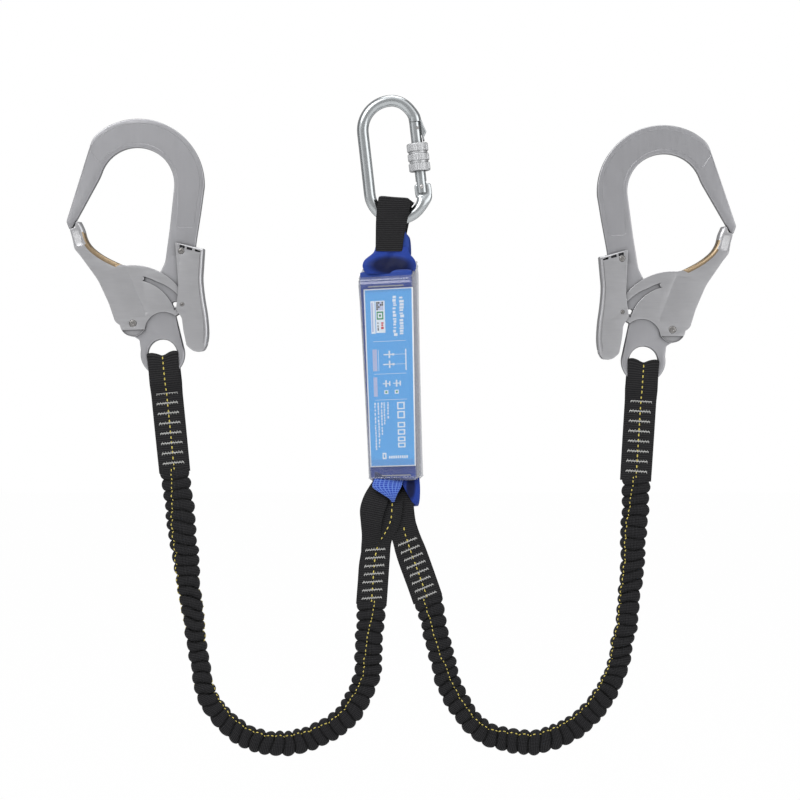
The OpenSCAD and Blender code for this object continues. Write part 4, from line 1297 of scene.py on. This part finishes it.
# Stations of the two edges of each ply, from the elastic up to the absorber's loop: the front ply with the
# tracer, the rear ply, and on the left a lobe that swings out.
KNOT_PLIES = {
    "left": [
        [(-29.9, -1.3, -393.0, -4.5, -1.3, -394.8), (-28.6, -1.3, -376, -3.3, -1.3, -378),
         (-26.8, -1.5, -356, -1.9, -1.5, -357), (-21.8, -2.6, -344, -0.4, -3.2, -341.5),
         (-15.2, -5.2, -335, 4.9, -6.2, -330), (-10.0, -7.6, -325, 7.8, -8.0, -320.5),
         (-8.8, -8.4, -314, 8.8, -8.6, -312), (-8.2, -7.0, -305, 9.0, -6.8, -304),
         (-7.0, -3.0, -298.5, 8.6, -3.0, -298.5)],
        [(-29.9, 1.3, -393.0, -4.5, 1.3, -394.8), (-28.6, 1.3, -376, -3.3, 1.3, -378),
         (-26.8, 1.5, -356, -1.9, 1.5, -357), (-24.2, 2.6, -344, -0.6, 3.0, -342),
         (-20.6, 5.6, -331, 3.2, 6.4, -328.5), (-15.6, 8.2, -316, 6.2, 8.8, -315),
         (-12.2, 7.4, -304, 7.2, 7.6, -303.5), (-10.0, 3.4, -297.5, 7.0, 3.4, -297.5)],
        [(-25.8, 0.2, -359, -5.6, 0.2, -360), (-25.6, -1.2, -347, -7.6, -0.6, -349),
         (-24.9, -4.4, -336, -9.0, -4.4, -339), (-25.7, -6.9, -325, -9.0, -9.0, -328.5),
         (-26.3, -7.2, -314, -6.6, -11.3, -317.5), (-23.4, -6.2, -304, -3.4, -10.9, -308.4),
         (-18.6, -4.6, -295.5, -2.0, -8.2, -300.4), (-15.0, -1.4, -290.4, -0.6, -4.4, -294)],
    ],
    "right": [
        [(17.8, -1.3, -393.6, 41.6, -1.3, -385.2), (12.9, -1.3, -379.6, 36.8, -1.3, -371.2),
         (4.7, -1.6, -357.0, 28.7, -1.5, -348.6), (1.2, -3.0, -344.0, 24.2, -2.4, -337.8),
         (-1.2, -4.8, -333.6, 21.2, -3.6, -329.4), (1.2, -6.0, -322.6, 18.7, -5.0, -320.4),
         (4.8, -6.4, -311.6, 18.0, -5.8, -310.4), (7.4, -6.0, -301.6, 18.5, -5.2, -300.6),
         (8.0, -3.0, -294.6, 18.0, -2.6, -294.4)],
        [(17.8, 1.3, -393.6, 41.6, 1.3, -385.2), (12.9, 1.3, -379.6, 36.8, 1.3, -371.2),
         (4.7, 1.6, -357.0, 28.7, 1.5, -348.6), (1.4, 2.8, -344.4, 24.2, 2.4, -337.8),
         (1.0, 5.0, -330.0, 20.2, 4.4, -327.0), (4.0, 6.6, -315.0, 18.2, 6.2, -313.0),
         (5.2, 5.8, -303.0, 18.0, 5.4, -302.0), (6.0, 2.8, -296.0, 17.6, 2.6, -295.6)],
    ],
}


def build_knot(leg):
    """Sewn strap and the plies that spread from it round the absorber's lower loop."""
    side = leg.side
    shell, stitch, tacks = Shell(), Shell(), Shell()
    pitch, slant, tracer_top = (6.7, 0.15, 0) if leg.left else (6.8, 0.05, -326)
    for face, stations in zip((FRONT, BACK, None), KNOT_PLIES[side]):
        ply = ribbon(shell, stations, 2.3, 0, 18, 0.0 if face else 1.2)
        if face:
            line = [spot for spot in middle_line(ply, 1.2, face) if spot[0].z < tracer_top]
            dashes(stitch, line, 4.9, 2.6, 0.5)
    bottom = Vector((leg.start.x, 0, leg.start.z))
    place = hanging(leg.knot, bottom)
    across = X * math.cos(slant) + Z * math.sin(slant)
    bar_tacks(tacks, 4 - (leg.knot - bottom).length, pitch, lambda k: 2.5 + max(0.0, k - 4) * 0.45, across,
              16.5, 0.8, 40)
    made = [make(f"{side}_upper_strap_visual", shell, ["black"],
                 stands_for=[f"{side}_upper_strap", f"{side}_hitch_loop"], angle=60),
            make(f"{side}_upper_strap_tracer", stitch, ["yellow"]),
            stand_in(f"{side}_upper_bar_tacks", tacks, ["white"], place)]
    for piece in made:
        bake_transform(piece)


# ---------------------------------------------------------------- scaffold hooks

GATE_PIVOT, LEVER_PIVOT, LOCK_PIN = (-24.3, 25.2), (15.9, 85.0), (16.7, 40.9)
HOOK_LEAN = math.radians(-1.5)


def on_hook(leg):
    """Places a hook drawing, measured from the eye with the bow's nose to the left."""
    if leg.left:
        return lambda p: leg.eye + p
    return lambda p: leg.eye + leaned(Vector((-p.x, p.y, p.z)), HOOK_LEAN)


def hook_body_loops():
    """Outline of the forged plate, its holes, and the panel sunk into the bow."""
    bow, seat = (-20, 140.5), (-21.3, 140.3)
    outline = rounded(
        [(-79.7, 109.6, 3.5), (-58.0, 179.5, 26)] + arc(bow, 54.5, 121, -2, 3)
        + [(31.6, 118, 60), (27.4, 91, 60), (26, 70, 40), (25, 47, 20), (21, 34.5, 3), (10.4, 34, 2)]
        + arc((0, 0), 18.3, 19, -190, 5) + [(-19, 11.6, 3)] + arc(GATE_PIVOT, 9, -128, -186, 8)
        + [(-33.2, 37.4, 2), (-24, 44, 6), (-17.0, 65.5, 3), (-2.5, 66.5, 6), (2.2, 76, 20), (6.0, 104, 90)]
        + arc(seat, 31, -4, 157, 3) + [(-52.0, 146.6, 40), (-71.4, 111, 2), (-76.4, 101, 2)])
    slot = rounded([(8.0, 39.2, 2), (18.6, 39.0, 2), (18.6, 43.0, 2), (8.0, 43.3, 2)])
    holes = [bore((0, 0), 12, 6), bore(GATE_PIVOT, 3.1), bore(LEVER_PIVOT, 2.6), slot]
    panel = rounded(
        arc(bow, 51.0, 133, 0, 4) + [(28.6, 124, 30), (26.0, 104.5, 3), (11.6, 104.5, 3), (12.6, 128, 20)]
        + arc(seat, 34.2, -3, 146, 4) + [(-53.6, 159.0, 3), (-61.4, 170.2, 3)])
    return outline, holes, panel


def gate_loops():
    """Outline of the gate's pressed sheet, its slot and its web edge."""
    web = soft_line([(-67.6, 109.4), (-64.6, 103), (-62.6, 96), (-59.4, 90.4), (-54.4, 85.6), (-47, 80.6),
                     (-37, 75.6)])
    top = arc(GATE_PIVOT, 48.3, 96, 16, 3)
    lug = arc((1.2, 19.2), 15.6, 52, 168, 6)
    outline = rounded(
        [(-71.6, 109.6, 1.6)] + web + [(-33, 73.9, 12)] + top
        + [(16, 34.9, 2)] + lug + [(-14.6, 19.6, 2)] + arc(GATE_PIVOT, 10.8, -30, -172, 6)
        + [(-39, 26.6, 14), (-44, 41.5, 40), (-53, 61, 40), (-67.6, 81, 14), (-72.6, 87, 6), (-74.4, 96, 6),
           (-76.6, 103.4, 2), (-72.2, 104.6, 0.8)])
    # The slot runs round the gate's pivot from low to high, then swings out along the way of the lock pin.
    low, high, slot_r, half = 18, 78.5, 37.95, 1.9
    pin_r, pin_low, pin_turn = 43.9, 20.95, 39.1
    slot = arc(GATE_PIVOT, slot_r - half, low, high, 4)
    end = at_angle(GATE_PIVOT, slot_r, high)
    slot += [at_angle(end, half, high - 180 + 30 * k) for k in range(1, 6)]
    slot += arc(GATE_PIVOT, slot_r + half, high, 62, 4)
    for k in range(9):
        f = 1 - k / 8
        slot.append(at_angle(GATE_PIVOT, pin_r + (slot_r - pin_r) * f + 2.0, pin_low + pin_turn * f))
    slot.append(at_angle(GATE_PIVOT, pin_r + 2.0, low))
    return outline, slot, web


def near_path(path, radius, small, reach=2.0):
    """Bevel size: radius close to the path, small elsewhere."""
    spots = [Vector(p) for p in path]

    def size(x, z):
        d = min((Vector((x, z)) - s).length for s in spots)
        f = max(0.0, min(1.0, 1 - (d - 0.3) / reach))
        return small + (radius - small) * f
    return size


def hollow(y_half, web, thick, beyond, place):
    """Cutter for the inside of a folded sheet: it stops a sheet's thickness short of the web."""
    inner = [Vector(q) for q in inset(web, [thick if area(web + beyond) > 0 else -thick] * len(web))]
    inner[0] += (inner[0] - inner[1]) * 4
    inner[-1] += (inner[-1] - inner[-2]) * 0.2
    inner = [tuple(q) for q in inner]
    shell = Shell()
    plate(shell, inner + beyond, y_half, near_path(inner, 1.2, 0.05, 1.0))
    return make("cutter", shell, ["sheet"], place)


def build_hook_body(leg, place):
    """Forged plate whose rims are rounder at the eye."""
    outline, holes, panel = hook_body_loops()

    def bevel(x, z):
        return 1.5 if math.hypot(x, z) < 21 else 0.9

    shell = Shell()
    plate(shell, outline, 4.0, bevel, holes, [(panel, 0.3, 0.35)])
    stand_in(f"{leg.side}_hook_body", shell, ["hook"], place, f"{leg.side}_hook", 25)


def build_hook_gate(leg, place):
    """Pressed sheet folded along its web, hollow inside, with a folded rib and a thumb patch."""
    outline, slot, web = gate_loops()
    rib = rounded([(-31.2, 70.6, 1), (-27.6, 71.4, 1), (-11.2, 34.0, 1), (-14.4, 31.2, 1)])
    patch = rounded([(-74.9, 101.6, 1), (-73.2, 95.6, 2), (-71.2, 88.6, 2), (-66.4, 91.6, 2),
                     (-67.2, 97.2, 2), (-69.6, 102.4, 1)])
    shell = Shell()
    plate(shell, outline, 6.2, near_path(web, 4.2, 0.35, 1.5), [slot, bore(GATE_PIVOT, 3.1)],
          [(rib, 0.25, 1.6), (patch, 0.15, 0.3)])
    piece = stand_in(f"{leg.side}_hook_gate", shell, ["sheet", "warm", "blast"], place)
    beyond = [(-20, 90), (60, 90), (60, -20), (-110, -20), (-110, 130)]
    carve(piece, hollow(4.4, web, 1.8, beyond, place))
    tint_gate(piece, leg, web, patch, place)
    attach(piece, f"{leg.side}_hook_gate_body")


def build_lock_lever(leg, place):
    """Pressed channel with a bead along its outer edge and three openings in its top."""
    edge = soft_line([(34.6, 87.0), (34.2, 80), (33.7, 72), (33.2, 61), (34.7, 46.5), (37.1, 31.5),
                      (38.1, 17.5), (37.0, 7.6)])
    outline = rounded([(10.9, 92.2, 1)] + edge + [
        (34.0, 2.6, 4), (26.6, 1.8, 6), (20.4, 6.6, 6), (17.6, 20, 20), (16.4, 30, 8), (11.6, 36.5, 4),
        (12.5, 45, 20), (13.6, 55, 60)])
    bead = rounded([(31.2, 82.5, 0.5), (32.2, 82.5, 0.5), (31.0, 61), (32.4, 46.5), (34.8, 30), (35.6, 17),
                    (34.4, 9.0, 0.4), (33.5, 9.0, 0.4), (34.6, 17), (33.8, 30), (31.4, 46.5), (29.9, 61)])
    gaps = [rounded([(x0, z0, 0.3), (x1, z1, 0.3), (x1 - 0.3, z1 - 2.2, 0.3), (x0 - 0.2, z0 - 2.4, 0.3)])
            for x0, z0, x1, z1 in (
                (14.6, 90.2, 19.0, 89.2), (20.6, 88.8, 25.2, 87.7), (27.4, 87.2, 32.4, 86.0))]
    shell = Shell()
    plate(shell, outline, 8.0, near_path(edge, 2.6, 0.3, 1.5), [bore(LEVER_PIVOT, 2.6), bore(LOCK_PIN, 1.7)],
          [(bead, 0.25, 0.2)] + [(gap, 0.7, 0.1) for gap in gaps])
    piece = stand_in(f"{leg.side}_lock_lever", shell, ["sheet", "gap_shadow"], place)
    beyond = [(42, -20), (-20, -20), (-20, 120), (40, 120)]
    carve(piece, hollow(6.5, edge, 1.5, beyond, place))
    paint_gap_shadows(piece, gaps, place)
    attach(piece, f"{leg.side}_lock_lever_body")


def build_hook_rivets(leg, place):
    """Gate rivet, lever rivet and lock pin, each with a low head that has a dimple."""
    for name, centre, r, reach, head_r, head_t, body in (
            ("gate_rivet", GATE_PIVOT, 2.9, 6.25, 2.8, 0.35, "hook"),
            ("lever_rivet", LEVER_PIVOT, 2.4, 8.05, 2.3, 0.35, "hook"),
            ("lock_pin", LOCK_PIN, 1.55, 8.05, 1.5, 0.3, "lock_lever_body")):
        half = [(0.4, -(reach - 0.2)), (head_r * 0.35, -(reach - 0.1)), (head_r * 0.5, -(reach + head_t)),
                (head_r * 0.85, -(reach + head_t * 0.8)), (head_r, -(reach + head_t * 0.1)),
                (head_r, -reach + 0.2), (r, -reach + 0.3)]
        shell = turned(half, Vector((centre[0], 0, centre[1])), 32)
        stand_in(f"{leg.side}_{name}", shell, ["rivet"], place, f"{leg.side}_{body}", 40)


def build_hook(leg):
    """All the pieces of one scaffold hook."""
    place = on_hook(leg)
    for build in (build_hook_body, build_hook_gate, build_lock_lever, build_hook_rivets):
        build(leg, place)


def inside(loop, x, z):
    """Whether a point lies inside a loop."""
    hit = False
    for (ax, az), (bx, bz) in zip(loop, loop[1:] + loop[:1]):
        if (az > z) != (bz > z) and x < (bx - ax) * (z - az) / (bz - az) + ax:
            hit = not hit
    return hit


def placed_loop(loop, place):
    return [tuple(place(Vector((x, 0, z))).xz) for x, z in loop]


def tint_gate(piece, leg, web, patch, place):
    """Heat tint along the folded web, and a blasted thumb patch near the nose."""
    spots, patch = placed_loop(web, place), placed_loop(patch, place)
    for face in piece.data.polygons:
        c = face.center / MM
        d = min(math.hypot(c.x - x, c.z - z) for x, z in spots)
        if d < 4.3 and abs(face.normal.y) < 0.985 and c.z - leg.eye.z < 100.5 and face.normal.z > 0.1:
            face.material_index = 1
        elif abs(face.normal.y) > 0.9 and inside(patch, c.x, c.z):
            face.material_index = 2


def paint_gap_shadows(piece, gaps, place):
    """The openings along the lever's top edge get a painted shadow, standing for the dark inside of the
    channel.
    """
    gaps = [placed_loop(gap, place) for gap in gaps]
    for face in piece.data.polygons:
        c = face.center / MM
        if 7.1 < abs(c.y) < 7.9 and any(inside(gap, c.x, c.z) for gap in gaps):
            face.material_index = 1


# ---------------------------------------------------------------- studio

def build_world():
    """Soft studio light that is brightest in front and above; the camera sees plain white."""
    t = Tree(bpy.data.worlds.new("studio"))
    bpy.context.scene.world = t.owner
    split = t.node("SeparateXYZ", None, {0: t.node("TexCoord").outputs["Generated"]})
    depth = t.math("MULTIPLY_ADD", split.outputs[1], 0.5, 0.5)
    stops = [(0.0, 0.46), (0.10, 0.52), (0.20, 1.0), (0.36, 1.0), (0.46, 0.10), (0.58, 0.12), (0.72, 0.5),
             (1.0, 0.6)]
    tone = t.ramp(depth, [(place, (grey, grey, grey * 1.01)) for place, grey in stops])
    height = t.math("MULTIPLY_ADD", split.outputs[2], 0.26, 0.86)
    light = t.shader("Background", {0: tone, 1: height})
    view = t.shader("Background", {0: (1, 1, 1, 1), 1: 1.0})
    seen = t.node("LightPath").outputs["Is Camera Ray"]
    t.finish(t.shader("MixShader", {0: seen, 1: light, 2: view}), "OutputWorld")


def build_floor():
    """Plain white floor just under the object, as bright to the camera as the background."""
    t = new_material("floor_white")
    plain = t.shader("BsdfDiffuse", {"Color": (0.9, 0.9, 0.9, 1)})
    glow = t.shader("Emission", {"Color": (1, 1, 1, 1), "Strength": 1.0})
    seen = t.math("MULTIPLY", t.node("LightPath").outputs["Is Camera Ray"], 0.985)
    low, half = cad_box[0][2] - 0.05, 6
    mesh = bpy.data.meshes.new("floor")
    corners = [(-half, -half, low), (half, -half, low), (half, half, low), (-half, half, low)]
    mesh.from_pydata(corners, [], [(0, 1, 2, 3)])
    mesh.materials.append(t.finish(t.shader("MixShader", {0: seen, 1: plain, 2: glow})))
    show("floor", mesh)


def build_lamps():
    """Three soft square lamps: name, place, side, power and the point it is aimed at."""
    for name, spot, size, power, aim in (
            ("key", (-0.9, -1.1, 1.0), 1.1, 11, (0, 0, -0.2)),
            ("fill", (1.3, -1.0, 0.2), 1.2, 4, (0, 0, -0.25)),
            ("top", (0.1, 0.2, 1.3), 0.9, 6, (0, 0, -0.2))):
        lamp = bpy.data.lights.new(name, "AREA")
        lamp.shape, lamp.size, lamp.energy = "SQUARE", size, power
        made = show(name, lamp)
        made.location = spot
        made.rotation_euler = (Vector(aim) - Vector(spot)).to_track_quat("-Z", "Y").to_euler()


def build_camera():
    """Looks straight along +Y, as the photograph does, with a long lens."""
    distance, width, sensor = 1.7, 0.664, 36
    lens = bpy.data.cameras.new("camera")
    lens.sensor_width = sensor
    lens.lens = sensor * distance / width
    camera = show("camera", lens)
    camera.location = (0.0066, -distance, -0.224)
    camera.rotation_euler = (math.pi / 2, 0, 0)
    bpy.context.scene.camera = camera


build_carabiner_frame()
build_hinge_rivet()
build_sleeve()
dress_cad_nodes()
build_cover()
build_tear_webbing()
build_absorber_tacks()
build_label()
build_label_marks()
build_wear_sleeve()
build_top_loop()
build_bottom_loop()
for leg in [Leg(side) for side in SIDES]:
    build_knot(leg)
    build_elastic(leg)
    build_hook_strap(leg)
    build_hook(leg)
build_world()
build_floor()
build_lamps()
build_camera()
bpy.context.scene.view_settings.view_transform = "Standard"
bpy.context.view_layer.update()
